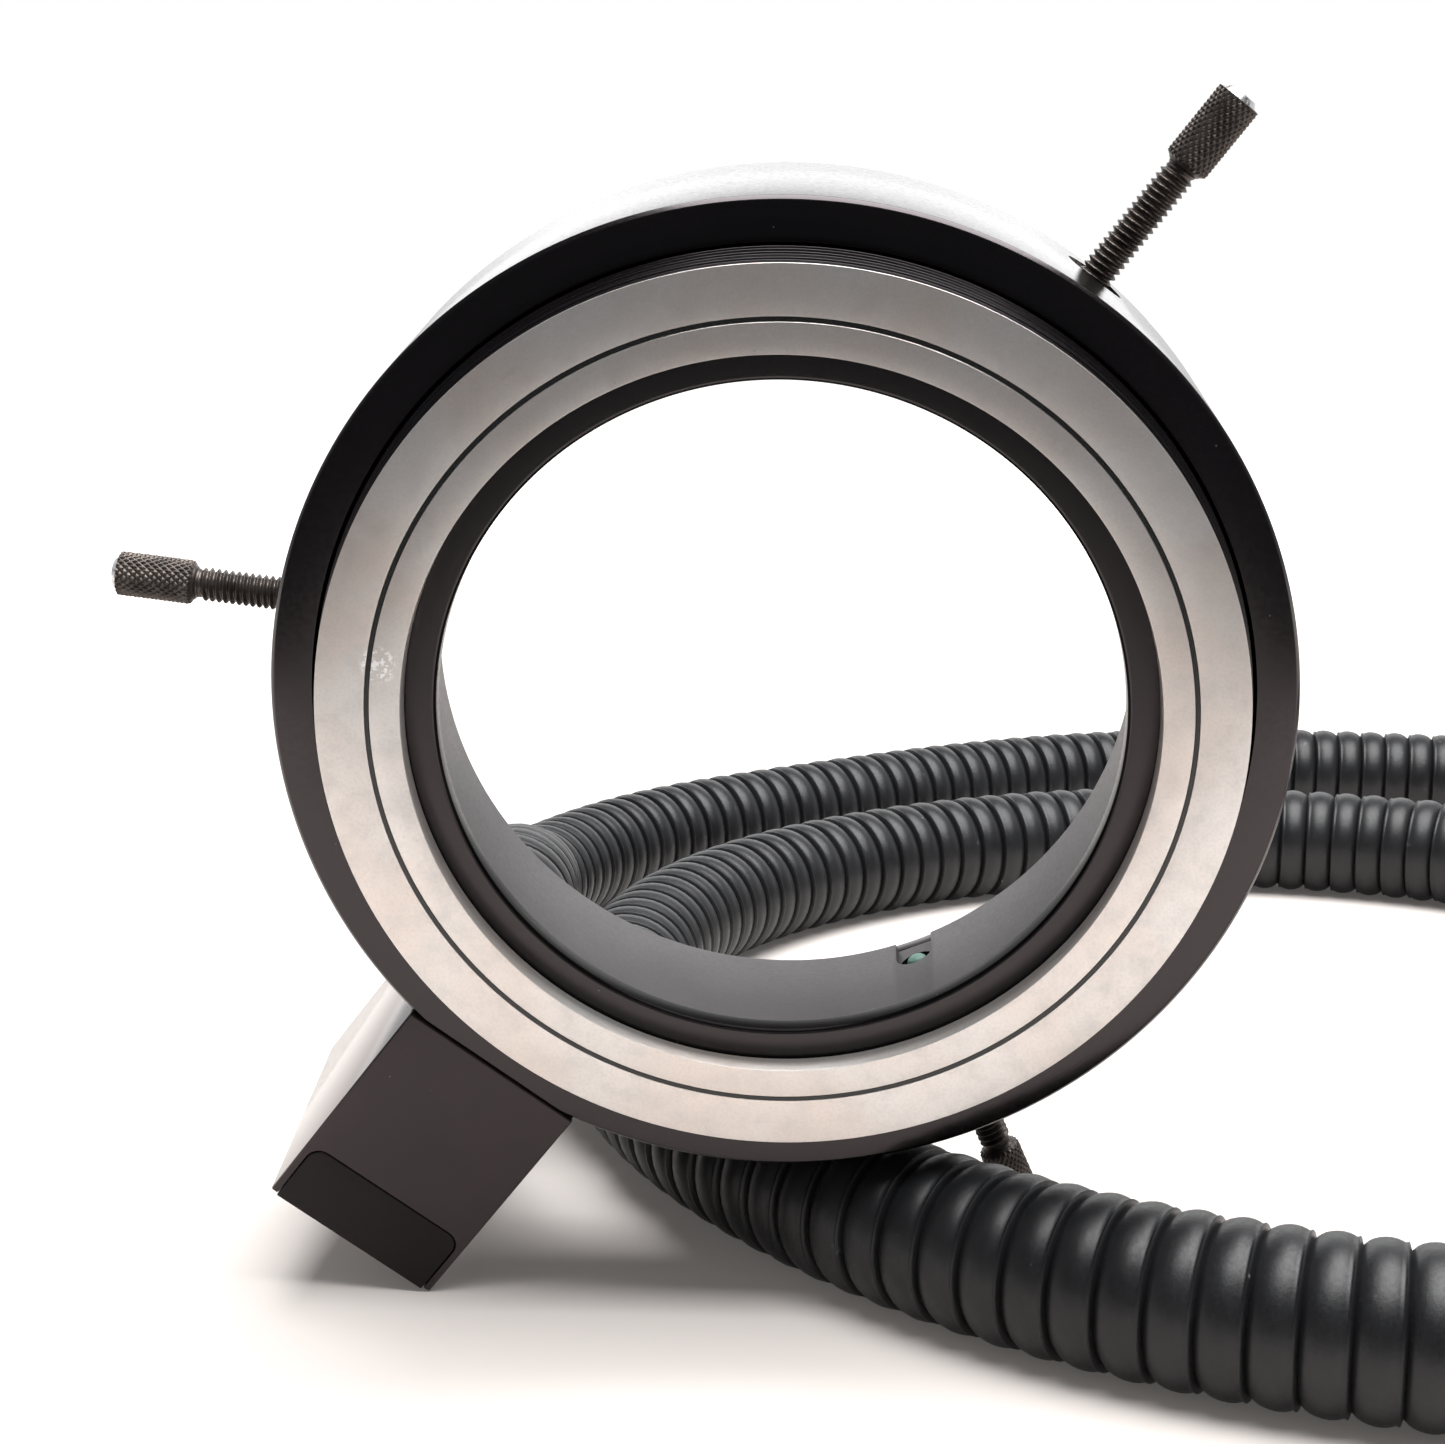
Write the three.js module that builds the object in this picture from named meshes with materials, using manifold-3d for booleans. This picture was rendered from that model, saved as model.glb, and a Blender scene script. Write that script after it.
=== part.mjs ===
// Fibre-optic ring light guide: an annular light head that clamps round a microscope objective,
// fed by a bundle of glass fibres in a ribbed conduit that ends in a light-source ferrule.
// Millimetres, +Z up. The head stands on one corner of its inlet block, leaning forwards,
// and the conduit lies on the same surface.

import * as THREE from 'three';
import Module from 'manifold-3d';
import { mergeVertices } from 'three/addons/utils/BufferGeometryUtils.js';

const wasm = await Module();
wasm.setup();

// Fits and cutting
const clearance = 0.3;
const slotClearance = 0.07;
const overrun = 1;

// Facets
const ringSides = 48;
const boreSides = 16;
const screwSides = 12;
const smallSides = 8;
const cornerSteps = 3;

// Pose of the head: its light face leans forwards from upright
const leanDegrees = 9.9;

// Ring body. Widths run outwards from the bore, depths back from the light face.
const boreRadius = 33;
const annulusWidth = 4.06;
const bodyDepth = 20.9;
const faceStand = 4;
const bodyChamfer = 0.35;
const boreWall = 1.3;
const pocketDepth = 5;
const ledgeThickness = 1.5;
const channelFloorThickness = 6.6;
const outerWall = 2.8;
const rearLandWidth = 4.6;
const bossWidth = 9;

// Light face: two ground rings with the line of fibre ends between them
const faceOverlap = 0.2;
const innerFaceWidth = 2.68;
const slotWidth = 0.44;
const slotDepth = 3.3;
const outerFaceWidth = 4.33;
const stepCount = 3;
const stepWidth = 0.23;
const flangeThickness = 2.3;
const funnelWidth = 1.4;
const funnelRun = 0.5;

// Lip that the objective's rim stops against
const lipWidth = 2.9;
const lipThickness = 2.1;
const lipChamfer = 0.3;
const seatStand = 0.1;

// Rear cover
const coverThickness = 1.5;
const coverSetback = 1;
const coverRim = 1.5;
const coverScrewCount = 6;
const coverScrewPhaseDegrees = 2.67;
const coverScrewHeadRadius = 1.45;
const coverScrewHeadHeight = 0.75;
const coverScrewShankRadius = 0.75;
const coverScrewLength = 4.6;
const coverScrewSocketRadius = 0.55;
const coverScrewSocketDepth = 0.5;

// Thumb screws: where each stands round the ring and how far its head stands off the body
const thumbScrews = [
  { degrees: 52.67, standOff: 11.6 },
  { degrees: 172.67, standOff: 10.5 },
  { degrees: 292.67, standOff: 10.75 },
];
const screwRearSetoff = 5.3;
const threadRadius = 1.5875;
const threadClearance = 0.2;
const threadLength = 22.225;
const threadChamfer = 0.3;
const neckRadius = 1.3;
const neckLength = 0.3;
const headRadius = 2.1;
const headLength = 7.9;
const headChamfer = 0.35;
const tipRadius = 1;
const tipThickness = 0.8;
const tipStemRadius = 0.5;
const tipStemLength = 1.2;
const tipGap = 0.15;
const spotRadius = 3;
const spotDepth = 0.4;
const notchWidth = 3.7;
const notchDepth = 0.85;

// Inlet block
const inletDegrees = 232.67;
const flatDepth = 1;
const blockWidth = 18.5;
const blockLength = 24.1;
const blockDepth = 28.2;
const blockWall = 4.9;
const blockEndWall = 2;
const hoseSetoff = 12.05;
const windowSetback = 13.2;
const bendRoom = 1.1;
const coverPlateLength = 6.8;
const coverPlateDepth = 5.2;
const coverPlateWall = 0.7;
const coverPlateCorner = 1;
const coverPlateProud = 0.2;

// Screws from the ring's channel into the block
const blockScrewSpacing = 11;
const blockScrewRearSetoff = 4.5;
const blockScrewShankRadius = 1.1;
const blockScrewHeadRadius = 2;
const blockScrewHeadHeight = 1.6;
const blockScrewLength = 9;
const blockScrewSeat = 0.9;
const blockScrewSocketRadius = 0.9;
const blockScrewSocketDepth = 0.9;

// Fibre bundle and its fittings
const bundleRadius = 3.2;
const ferruleWall = 1.13;
const spigotWall = 0.63;
const ferruleInsert = 6.8;
const ferruleFlangeWidth = 2.9;
const ferruleFlangeThickness = 2;
const spigotLength = 9.5;
const grubRadius = 1.25;
const grubLength = 4.6;
const grubSocketRadius = 0.7;
const grubSocketDepth = 1.5;
const grubPlaceShare = 0.5;

// Conduit: a ribbed hose with its bore
const hoseWall = 2.772;
const ribHeight = 0.8;
const hoseSides = 8;
const ribCount = 200;
const ribsPerBoreRing = 5;
const inletRun = 12;
const endRun = 17;
const routeSteps = 24;

// Far end
const collarWall = 1.8;
const collarLength = 14;
const collarChamfer = 0.8;
const collarSocketDepth = 8;
const sourceWall = 1.93;
const sourceLength = 42;
const sourceChamfer = 0.6;
const faceDepth = 1.8;
const sourceGrubInset = 0.1;
const sourceGrubSocket = 0.9;

// The conduit's route over the surface that the head stands on: across, back, and the height of
// its axis where it comes down from the block. The straight runs at both ends are added to it.
const hoseRoute = [
  [-25.2, 61.8, 23.3], [-28.7, 83.2, 15.6], [-31.8, 98.4, 11.8], [-31.2, 115.5, 8.9], [-26.2, 133.9],
  [-14.1, 152.7], [8.4, 170.8], [32.9, 189.6], [60.8, 203.6], [91.8, 207.9], [123.8, 202],
  [160.8, 193.9], [195.8, 179.5], [229.8, 157], [253.8, 125], [262.8, 87], [253.8, 48], [230.8, 16],
  [195.8, -7.5], [158.8, -24], [118.8, -33], [80.5, -34.4], [51.8, -27.7],
  [29.2, -16.4], [6, 5], [-10, 34.8], [-14.9, 66],
  [-10.6, 95.9], [3.7, 122.1], [27.8, 142.8], [56.7, 155], [86.7, 154.6], [115.7, 144.5],
  [139.9, 123.5], [152.8, 95], [153.8, 64],
];

// Finishes
const blackAnodised = { color: 0x2b2727, roughness: 0.42, metalness: 0.55 };
const groundMetal = { color: 0xb9b0a8, roughness: 0.35, metalness: 0.9 };
const potting = { color: 0x1b1a1a, roughness: 0.3, metalness: 0 };
const blackOxide = { color: 0x37312e, roughness: 0.45, metalness: 0.75 };
const brightSteel = { color: 0xa7a9ab, roughness: 0.3, metalness: 1 };
const softTip = { color: 0x7d9a90, roughness: 0.55, metalness: 0 };
const conduitCover = { color: 0x2a2b2e, roughness: 0.5, metalness: 0 };
const glassFibre = { color: 0x8f8a74, roughness: 0.25, metalness: 0 };

// Levels worked out from the sizes above, as heights along the head's axis
const annulusZ = -faceStand;
const bodyRearZ = annulusZ - bodyDepth;
const screwSetback = -bodyRearZ - screwRearSetoff;
const blockScrewSetback = -bodyRearZ - blockScrewRearSetoff;
const landZ = bodyRearZ + coverThickness + clearance;
const ledgeZ = annulusZ - pocketDepth;
const channelTopZ = ledgeZ - ledgeThickness;
const channelFloorZ = landZ + channelFloorThickness;
const lipFrontZ = -flangeThickness - clearance;
const lipRearZ = lipFrontZ - lipThickness;
const boreWallZ = lipRearZ + seatStand - clearance;
const boreWallRadius = boreRadius + boreWall;
const lipRadius = boreRadius - lipWidth;
const faceInnerRadius = boreRadius - faceOverlap;
const slotInnerRadius = faceInnerRadius + innerFaceWidth;
const slotOuterRadius = slotInnerRadius + slotWidth;
const faceOuterRadius = slotOuterRadius + outerFaceWidth;
const faceBaseRadius = faceOuterRadius + stepCount * stepWidth;
const pocketRadius = faceBaseRadius + clearance;
const screwHoleRadius = threadRadius + threadClearance;
const bodyRadius = faceBaseRadius + annulusWidth;
const channelRadius = bodyRadius - outerWall;
const funnelRadius = slotOuterRadius + funnelWidth;
const ledgeRadius = funnelRadius + clearance;
const rearLandRadius = boreRadius + rearLandWidth;
const coverInnerRadius = boreRadius + coverSetback;
const coverScrewRadius = (coverInnerRadius + rearLandRadius) / 2;
const flatRadius = bodyRadius - flatDepth;
const blockInner = flatRadius + clearance;
const blockReach = blockInner + blockLength;
const bendPocketHalfWidth = bundleRadius + bendRoom;
const hoseRadial = blockInner + hoseSetoff;
const blockRearZ = annulusZ - blockDepth;
const grubZ = blockRearZ + ferruleInsert * grubPlaceShare;
const coverSlotDepth = coverPlateDepth + clearance;
const coverSlotInner = blockReach - coverPlateLength;
const sleeveBoreRadius = bundleRadius + clearance + slotClearance;
const ferruleTubeRadius = sleeveBoreRadius + ferruleWall;
const ferruleBoreRadius = ferruleTubeRadius + clearance;
const ferruleFlangeRadius = ferruleTubeRadius + ferruleFlangeWidth;
const spigotRadius = sleeveBoreRadius + spigotWall;
const hoseBoreRadius = (spigotRadius + clearance) / Math.cos(Math.PI / hoseSides);
const hoseCornerRadius = hoseBoreRadius + hoseWall + ribHeight;
const hoseRadius = hoseCornerRadius * Math.cos(Math.PI / hoseSides);
const sourceRadius = sleeveBoreRadius + sourceWall;
const collarRadius = sourceRadius + clearance + collarWall;
const sourceGrubLength = collarWall - sourceGrubInset;
const sourceEnd = clearance + collarLength - collarSocketDepth + clearance + sourceLength;
const hoseStartZ = blockRearZ - clearance - ferruleFlangeThickness - clearance;

// Solids

function solidOf(geometry) {
  const bare = geometry.clone();
  bare.deleteAttribute('normal');
  bare.deleteAttribute('uv');
  const merged = mergeVertices(bare);
  const vertProperties = new Float32Array(merged.attributes.position.array);
  const triVerts = new Uint32Array(merged.index.array);
  return new wasm.Manifold(new wasm.Mesh({ numProp: 3, vertProperties, triVerts }));
}

function geometryOf(solid) {
  const mesh = solid.getMesh();
  const geometry = new THREE.BufferGeometry();
  geometry.setAttribute('position', new THREE.BufferAttribute(new Float32Array(mesh.vertProperties), 3));
  geometry.setIndex(new THREE.BufferAttribute(new Uint32Array(mesh.triVerts), 1));
  geometry.computeVertexNormals();
  return geometry;
}

function cut(geometry, cutters) {
  let solid = solidOf(geometry);
  for (const cutter of cutters) {
    solid = solid.subtract(solidOf(cutter));
  }
  return geometryOf(solid);
}

// A solid of revolution about Z, from a closed outline of [radius, height] points.
function turned(outline, sides) {
  const points = outline.map(([radius, height]) => new THREE.Vector2(radius, height));
  const closed = points[0].x > 0 ? [...points, points[0].clone()] : points;
  return new THREE.LatheGeometry(closed, sides).rotateX(Math.PI / 2);
}

function rod(radius, from, to, sides) {
  const length = to - from;
  const geometry = new THREE.CylinderGeometry(radius, radius, length, sides).rotateX(Math.PI / 2);
  return geometry.translate(0, 0, from + length / 2);
}

function block(low, high) {
  const size = high.map((value, i) => value - low[i]);
  const middle = high.map((value, i) => (value + low[i]) / 2);
  return new THREE.BoxGeometry(...size).translate(...middle);
}

// Frames on the ring: X across, Y the way the light goes, Z outwards along the radius.
function radialFrame(degrees, setback) {
  const angle = THREE.MathUtils.degToRad(degrees);
  const out = new THREE.Vector3(Math.cos(angle), Math.sin(angle), 0);
  const light = new THREE.Vector3(0, 0, 1);
  const across = new THREE.Vector3().crossVectors(light, out);
  return new THREE.Matrix4().makeBasis(across, light, out).setPosition(0, 0, -setback);
}

function named(name, geometry, finish, frame) {
  const mesh = new THREE.Mesh(geometry, new THREE.MeshStandardMaterial(finish));
  mesh.name = name;
  if (frame) {
    mesh.applyMatrix4(frame);
  }
  return mesh;
}

// Ring body

function ringBody() {
  const outline = [
    [boreRadius, landZ],
    [bodyRadius - coverRim, landZ],
    [bodyRadius - coverRim, bodyRearZ],
    [bodyRadius, bodyRearZ],
    [bodyRadius, annulusZ - bodyChamfer],
    [bodyRadius - bodyChamfer, annulusZ],
    [pocketRadius, annulusZ],
    [pocketRadius, ledgeZ],
    [ledgeRadius, ledgeZ],
    [ledgeRadius, channelTopZ],
    [channelRadius, channelTopZ],
    [channelRadius, channelFloorZ],
    [boreWallRadius, channelFloorZ],
    [boreWallRadius, boreWallZ],
    [boreRadius, boreWallZ],
  ];
  const cutters = [
    ...thumbScrews.flatMap(({ degrees }) => thumbScrewCuts(degrees)),
    ...thumbScrews.map((screw, i) => accessPocket(i)),
    ...coverScrewPlaces().map((place) => coverScrewHole().applyMatrix4(place)),
    ...inletCuts(),
  ];
  return cut(turned(outline, ringSides), cutters);
}

// The rear pockets through which the fibres are laid, between the bosses of the thumb screws.
function accessPocket(index) {
  const bossHalfAngle = Math.atan(bossWidth / 2 / rearLandRadius);
  const start = THREE.MathUtils.degToRad(thumbScrews[index].degrees) + bossHalfAngle;
  const sweep = (2 * Math.PI) / thumbScrews.length - 2 * bossHalfAngle;
  const shape = new THREE.Shape();
  shape.absarc(0, 0, channelRadius, start, start + sweep, false);
  shape.absarc(0, 0, rearLandRadius, start + sweep, start, true);
  const steps = Math.ceil(ringSides / thumbScrews.length / 2);
  const depth = channelFloorZ - landZ + overrun;
  const geometry = new THREE.ExtrudeGeometry(shape, { depth, bevelEnabled: false, curveSegments: steps });
  return geometry.translate(0, 0, landZ - overrun / 2);
}

function thumbScrewCuts(degrees) {
  const frame = radialFrame(degrees, screwSetback);
  const runToRim = -screwSetback - landZ + overrun;
  const slot = block(
    [-notchWidth / 2, -runToRim, boreRadius - overrun],
    [notchWidth / 2, 0, boreRadius + notchDepth],
  );
  const cutters = [
    rod(screwHoleRadius, boreRadius - overrun, bodyRadius + overrun, screwSides),
    rod(spotRadius, bodyRadius - spotDepth, bodyRadius + overrun, boreSides),
    rod(notchWidth / 2, boreRadius - overrun, boreRadius + notchDepth, boreSides),
    slot,
  ];
  return cutters.map((cutter) => cutter.applyMatrix4(frame));
}

function inletCuts() {
  const middle = radialFrame(inletDegrees, 0);
  const flat = block(
    [-bodyRadius / 2, bodyRearZ - overrun, flatRadius],
    [bodyRadius / 2, annulusZ + overrun, bodyRadius + overrun],
  );
  const window = rod(bundleRadius + clearance, channelRadius - clearance, bodyRadius, boreSides);
  window.translate(0, -windowSetback, 0);
  const screwHoles = blockScrewOffsets().map((offset) => {
    const hole = rod(blockScrewShankRadius + clearance, rearLandRadius + overrun, bodyRadius, smallSides);
    return hole.translate(offset, -blockScrewSetback, 0);
  });
  return [flat, window, ...screwHoles].map((cutter) => cutter.applyMatrix4(middle));
}

// Light face

function outerFaceRing() {
  const steps = [];
  for (let i = 0; i < stepCount; i += 1) {
    const radius = faceOuterRadius + i * stepWidth;
    steps.push([radius, (-faceStand * i) / stepCount], [radius, (-faceStand * (i + 1)) / stepCount]);
  }
  const outline = [
    ...steps,
    [faceBaseRadius, -faceStand],
    [faceBaseRadius, ledgeZ + clearance],
    [funnelRadius, ledgeZ + clearance],
    [slotOuterRadius, -slotDepth],
    [slotOuterRadius, 0],
  ];
  return turned(outline.reverse(), ringSides);
}

function innerFaceRing() {
  return turned([
    [slotInnerRadius, 0],
    [faceInnerRadius, 0],
    [faceInnerRadius, -flangeThickness],
    [boreWallRadius + clearance, -flangeThickness],
    [boreWallRadius + clearance, ledgeZ + clearance],
    [slotInnerRadius, ledgeZ + clearance],
  ], ringSides);
}

function fibreRing() {
  return turned([
    [slotOuterRadius - slotClearance, 0],
    [slotInnerRadius + slotClearance, 0],
    [slotInnerRadius + slotClearance, ledgeZ],
    [boreWallRadius + clearance, ledgeZ],
    [boreWallRadius + clearance, channelFloorZ + clearance],
    [channelRadius - clearance, channelFloorZ + clearance],
    [channelRadius - clearance, channelTopZ - clearance],
    [ledgeRadius - clearance, channelTopZ - clearance],
    [funnelRadius - clearance - slotClearance, ledgeZ + clearance],
    [slotOuterRadius - slotClearance, -slotDepth - funnelRun],
  ], ringSides);
}

function boreLipRing() {
  return turned([
    [boreWallRadius, lipFrontZ],
    [lipRadius + lipChamfer, lipFrontZ],
    [lipRadius, lipFrontZ - lipChamfer],
    [lipRadius, lipRearZ],
    [boreRadius - clearance, lipRearZ],
    [boreRadius - clearance, lipRearZ + seatStand],
    [boreWallRadius, lipRearZ + seatStand],
  ], ringSides);
}

// Rear cover and its screws

function coverScrewPlaces() {
  const places = [];
  for (let i = 0; i < coverScrewCount; i += 1) {
    const turn = THREE.MathUtils.degToRad(coverScrewPhaseDegrees + (360 * (i + 0.5)) / coverScrewCount);
    const place = new THREE.Matrix4().makeRotationZ(turn);
    places.push(place.multiply(new THREE.Matrix4().makeTranslation(coverScrewRadius, 0, bodyRearZ)));
  }
  return places;
}

// Seen from the screw's own frame: Z runs into the body, from the cover's outer face at 0.
function coverScrewHole() {
  const radius = coverScrewShankRadius + clearance / 2;
  const bottom = coverScrewLength + clearance;
  const mouth = coverScrewHeadRadius + clearance / 2;
  return turned([
    [0, -overrun],
    [mouth, -overrun],
    [mouth, 0],
    [radius, coverScrewHeadHeight],
    [radius, bottom],
    [0, bottom],
  ], smallSides);
}

function coverScrew() {
  const body = turned([
    [0, 0],
    [coverScrewHeadRadius, 0],
    [coverScrewShankRadius, coverScrewHeadHeight],
    [coverScrewShankRadius, coverScrewLength],
    [0, coverScrewLength],
  ], smallSides);
  return cut(body, [rod(coverScrewSocketRadius, -overrun, coverScrewSocketDepth, 6)]);
}

function rearCover() {
  const plate = turned([
    [coverInnerRadius, bodyRearZ],
    [bodyRadius - coverRim - clearance, bodyRearZ],
    [bodyRadius - coverRim - clearance, bodyRearZ + coverThickness],
    [coverInnerRadius, bodyRearZ + coverThickness],
  ], ringSides);
  return cut(plate, coverScrewPlaces().map((place) => coverScrewHole().applyMatrix4(place)));
}

// Thumb screws, each along Z with its tip's face at 0

function thumbScrew() {
  const end = tipThickness + tipGap;
  const body = turned([
    [0, end],
    [threadRadius - threadChamfer, end],
    [threadRadius, end + threadChamfer],
    [threadRadius, threadLength - neckLength],
    [neckRadius, threadLength - neckLength],
    [neckRadius, threadLength],
    [headRadius - headChamfer, threadLength],
    [headRadius, threadLength + headChamfer],
    [headRadius, threadLength + headLength - headChamfer],
    [headRadius - headChamfer, threadLength + headLength],
    [0, threadLength + headLength],
  ], screwSides);
  const socket = rod(tipStemRadius + tipGap, 0, end + tipStemLength + tipGap, smallSides);
  return cut(body, [socket]);
}

function screwTip() {
  return turned([
    [0, 0],
    [tipRadius, 0],
    [tipRadius, tipThickness],
    [tipStemRadius, tipThickness],
    [tipStemRadius, tipThickness + tipStemLength],
    [0, tipThickness + tipStemLength],
  ], smallSides);
}

// Inlet block, in the radial frame of the inlet

function roundedSlot(halfWidth, inner, outer, corner) {
  const shape = new THREE.Shape();
  shape.moveTo(-halfWidth, outer);
  shape.lineTo(-halfWidth, inner + corner);
  shape.absarc(-halfWidth + corner, inner + corner, corner, Math.PI, 1.5 * Math.PI, false);
  shape.absarc(halfWidth - corner, inner + corner, corner, 1.5 * Math.PI, 2 * Math.PI, false);
  shape.lineTo(halfWidth, outer);
  return shape;
}

// Extrudes an outline drawn in X and Z towards +Y, from one height to another.
function plateBetween(shape, fromY, toY) {
  const options = { depth: toY - fromY, bevelEnabled: false, curveSegments: cornerSteps };
  return new THREE.ExtrudeGeometry(shape, options).rotateX(Math.PI / 2).translate(0, toY, 0);
}

function inletBlock() {
  const halfWidth = blockWidth / 2;
  const body = block([-halfWidth, blockRearZ, blockInner], [halfWidth, annulusZ, blockReach]);
  const slotHalfWidth = halfWidth - coverPlateWall;
  const slot = roundedSlot(slotHalfWidth, coverSlotInner, blockReach + overrun, coverPlateCorner);
  const bendPocket = block(
    [-bendPocketHalfWidth, blockRearZ + ferruleInsert, blockInner - overrun],
    [bendPocketHalfWidth, annulusZ - blockWall, coverSlotInner],
  );
  const underCover = block(
    [-bendPocketHalfWidth, blockRearZ + ferruleInsert, coverSlotInner - overrun],
    [bendPocketHalfWidth, annulusZ - coverSlotDepth + overrun, blockReach - blockEndWall],
  );
  const boreEnd = blockRearZ + ferruleInsert;
  const ferruleBore = alongY(rod(ferruleBoreRadius, blockRearZ - overrun, boreEnd, boreSides));
  const grubHole = rod(grubRadius + clearance, hoseRadial, blockReach + overrun, smallSides);
  const screwHoles = blockScrewOffsets().map((offset) => {
    const depth = blockScrewSeatRadius() + blockScrewLength + clearance;
    const hole = rod(blockScrewShankRadius + clearance, flatRadius, depth, smallSides);
    return hole.translate(offset, -blockScrewSetback, 0);
  });
  return cut(body, [
    plateBetween(slot, annulusZ - coverSlotDepth, annulusZ + overrun),
    bendPocket,
    underCover,
    ferruleBore.translate(0, 0, hoseRadial),
    grubHole.translate(0, grubZ, 0),
    ...screwHoles,
  ]);
}

// Turns a piece built along Z so that it runs along Y of the radial frame.
function alongY(geometry) {
  return geometry.rotateX(-Math.PI / 2);
}

function inletCover() {
  const halfWidth = blockWidth / 2 - coverPlateWall - clearance / 2;
  const outer = blockReach + coverPlateProud;
  const shape = roundedSlot(halfWidth, coverSlotInner + clearance / 2, outer, coverPlateCorner);
  return plateBetween(shape, annulusZ - coverPlateDepth, annulusZ);
}

function blockScrewOffsets() {
  return [-blockScrewSpacing / 2, blockScrewSpacing / 2];
}

function blockScrewSeatRadius() {
  return channelRadius - blockScrewSeat;
}

// Along Z, with the underside of its head at 0 and its shank pointing outwards.
function blockScrew() {
  const body = turned([
    [0, -blockScrewHeadHeight],
    [blockScrewHeadRadius, -blockScrewHeadHeight],
    [blockScrewHeadRadius, 0],
    [blockScrewShankRadius, 0],
    [blockScrewShankRadius, blockScrewLength],
    [0, blockScrewLength],
  ], smallSides);
  const socketEnd = blockScrewSocketDepth - blockScrewHeadHeight;
  return cut(body, [rod(blockScrewSocketRadius, -blockScrewHeadHeight - overrun, socketEnd, 6)]);
}

// Bundle from the ring's channel, round the bend in the block and out through the hose's fitting.
function bundleElbow() {
  const start = channelRadius + clearance / 2;
  const bendStart = flatRadius + clearance;
  const bendEnd = -windowSetback - (hoseRadial - bendStart);
  const end = hoseStartZ - spigotLength;
  const path = new THREE.CurvePath();
  path.add(new THREE.LineCurve3(
    new THREE.Vector3(0, -windowSetback, start),
    new THREE.Vector3(0, -windowSetback, bendStart),
  ));
  path.add(new THREE.QuadraticBezierCurve3(
    new THREE.Vector3(0, -windowSetback, bendStart),
    new THREE.Vector3(0, -windowSetback, hoseRadial),
    new THREE.Vector3(0, bendEnd, hoseRadial),
  ));
  path.add(new THREE.LineCurve3(
    new THREE.Vector3(0, bendEnd, hoseRadial),
    new THREE.Vector3(0, end, hoseRadial),
  ));
  return pipe(path, bundleRadius, boreSides);
}

function pipe(path, radius, steps) {
  const section = new THREE.Shape();
  for (let i = 0; i < hoseSides; i += 1) {
    const angle = (2 * Math.PI * i) / hoseSides;
    const x = radius * Math.cos(angle);
    const y = radius * Math.sin(angle);
    if (i === 0) {
      section.moveTo(x, y);
    } else {
      section.lineTo(x, y);
    }
  }
  return new THREE.ExtrudeGeometry(section, { steps, extrudePath: path, bevelEnabled: false });
}

// Fitting that carries the hose on the block: a tube with a flange, and a spigot in the hose.
function hoseFerrule() {
  const flangeFront = blockRearZ - clearance;
  const flangeRear = flangeFront - ferruleFlangeThickness;
  const tube = turned([
    [sleeveBoreRadius, blockRearZ + ferruleInsert - clearance],
    [sleeveBoreRadius, hoseStartZ - spigotLength],
    [spigotRadius, hoseStartZ - spigotLength],
    [spigotRadius, flangeRear],
    [ferruleFlangeRadius, flangeRear],
    [ferruleFlangeRadius, flangeFront],
    [ferruleTubeRadius, flangeFront],
    [ferruleTubeRadius, blockRearZ + ferruleInsert - clearance],
  ], boreSides);
  return alongY(tube).translate(0, 0, hoseRadial);
}

// Grub screw along Z, its inner end at 0
function grubScrew() {
  const body = rod(grubRadius, 0, grubLength, smallSides);
  return cut(body, [rod(grubSocketRadius, grubLength - grubSocketDepth, grubLength + overrun, 6)]);
}

// The head

function buildHead() {
  const head = new THREE.Group();
  head.add(named('ring_body', ringBody(), blackAnodised));
  head.add(named('outer_face_ring', outerFaceRing(), groundMetal));
  head.add(named('inner_face_ring', innerFaceRing(), groundMetal));
  head.add(named('fibre_ring', fibreRing(), potting));
  head.add(named('bore_lip_ring', boreLipRing(), blackAnodised));
  head.add(named('rear_cover', rearCover(), blackAnodised));
  coverScrewPlaces().forEach((place, i) => {
    head.add(named(`rear_cover_screw_${i + 1}`, coverScrew(), blackOxide, place));
  });
  thumbScrews.forEach(({ degrees, standOff }, i) => {
    const frame = radialFrame(degrees, screwSetback);
    frame.multiply(new THREE.Matrix4().makeTranslation(0, 0, bodyRadius + standOff - threadLength));
    head.add(named(`thumb_screw_${i + 1}`, thumbScrew(), blackOxide, frame));
    head.add(named(`screw_tip_${i + 1}`, screwTip(), softTip, frame));
  });
  const inlet = radialFrame(inletDegrees, 0);
  head.add(named('inlet_block', inletBlock(), blackAnodised, inlet));
  head.add(named('inlet_cover', inletCover(), blackAnodised, inlet));
  blockScrewOffsets().forEach((offset, i) => {
    const seat = new THREE.Matrix4().makeTranslation(offset, -blockScrewSetback, blockScrewSeatRadius());
    head.add(named(`block_screw_${i + 1}`, blockScrew(), blackOxide, inlet.clone().multiply(seat)));
  });
  head.add(named('bundle_elbow', bundleElbow(), glassFibre, inlet));
  head.add(named('hose_ferrule', hoseFerrule(), brightSteel, inlet));
  const grubSeat = new THREE.Matrix4().makeTranslation(0, grubZ, hoseRadial + ferruleTubeRadius + clearance);
  head.add(named('ferrule_set_screw', grubScrew(), blackOxide, inlet.clone().multiply(grubSeat)));
  return head;
}

// Leans the head forwards and stands it on its lowest corner, centred on the part's origin.
function standUp(head) {
  head.rotation.x = Math.PI / 2 + THREE.MathUtils.degToRad(leanDegrees);
  head.updateMatrixWorld(true);
  const box = new THREE.Box3().setFromObject(head, true);
  const middle = box.getCenter(new THREE.Vector3());
  head.position.set(-middle.x, -middle.y, -box.min.z);
  head.updateMatrixWorld(true);
}

// The conduit

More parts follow.
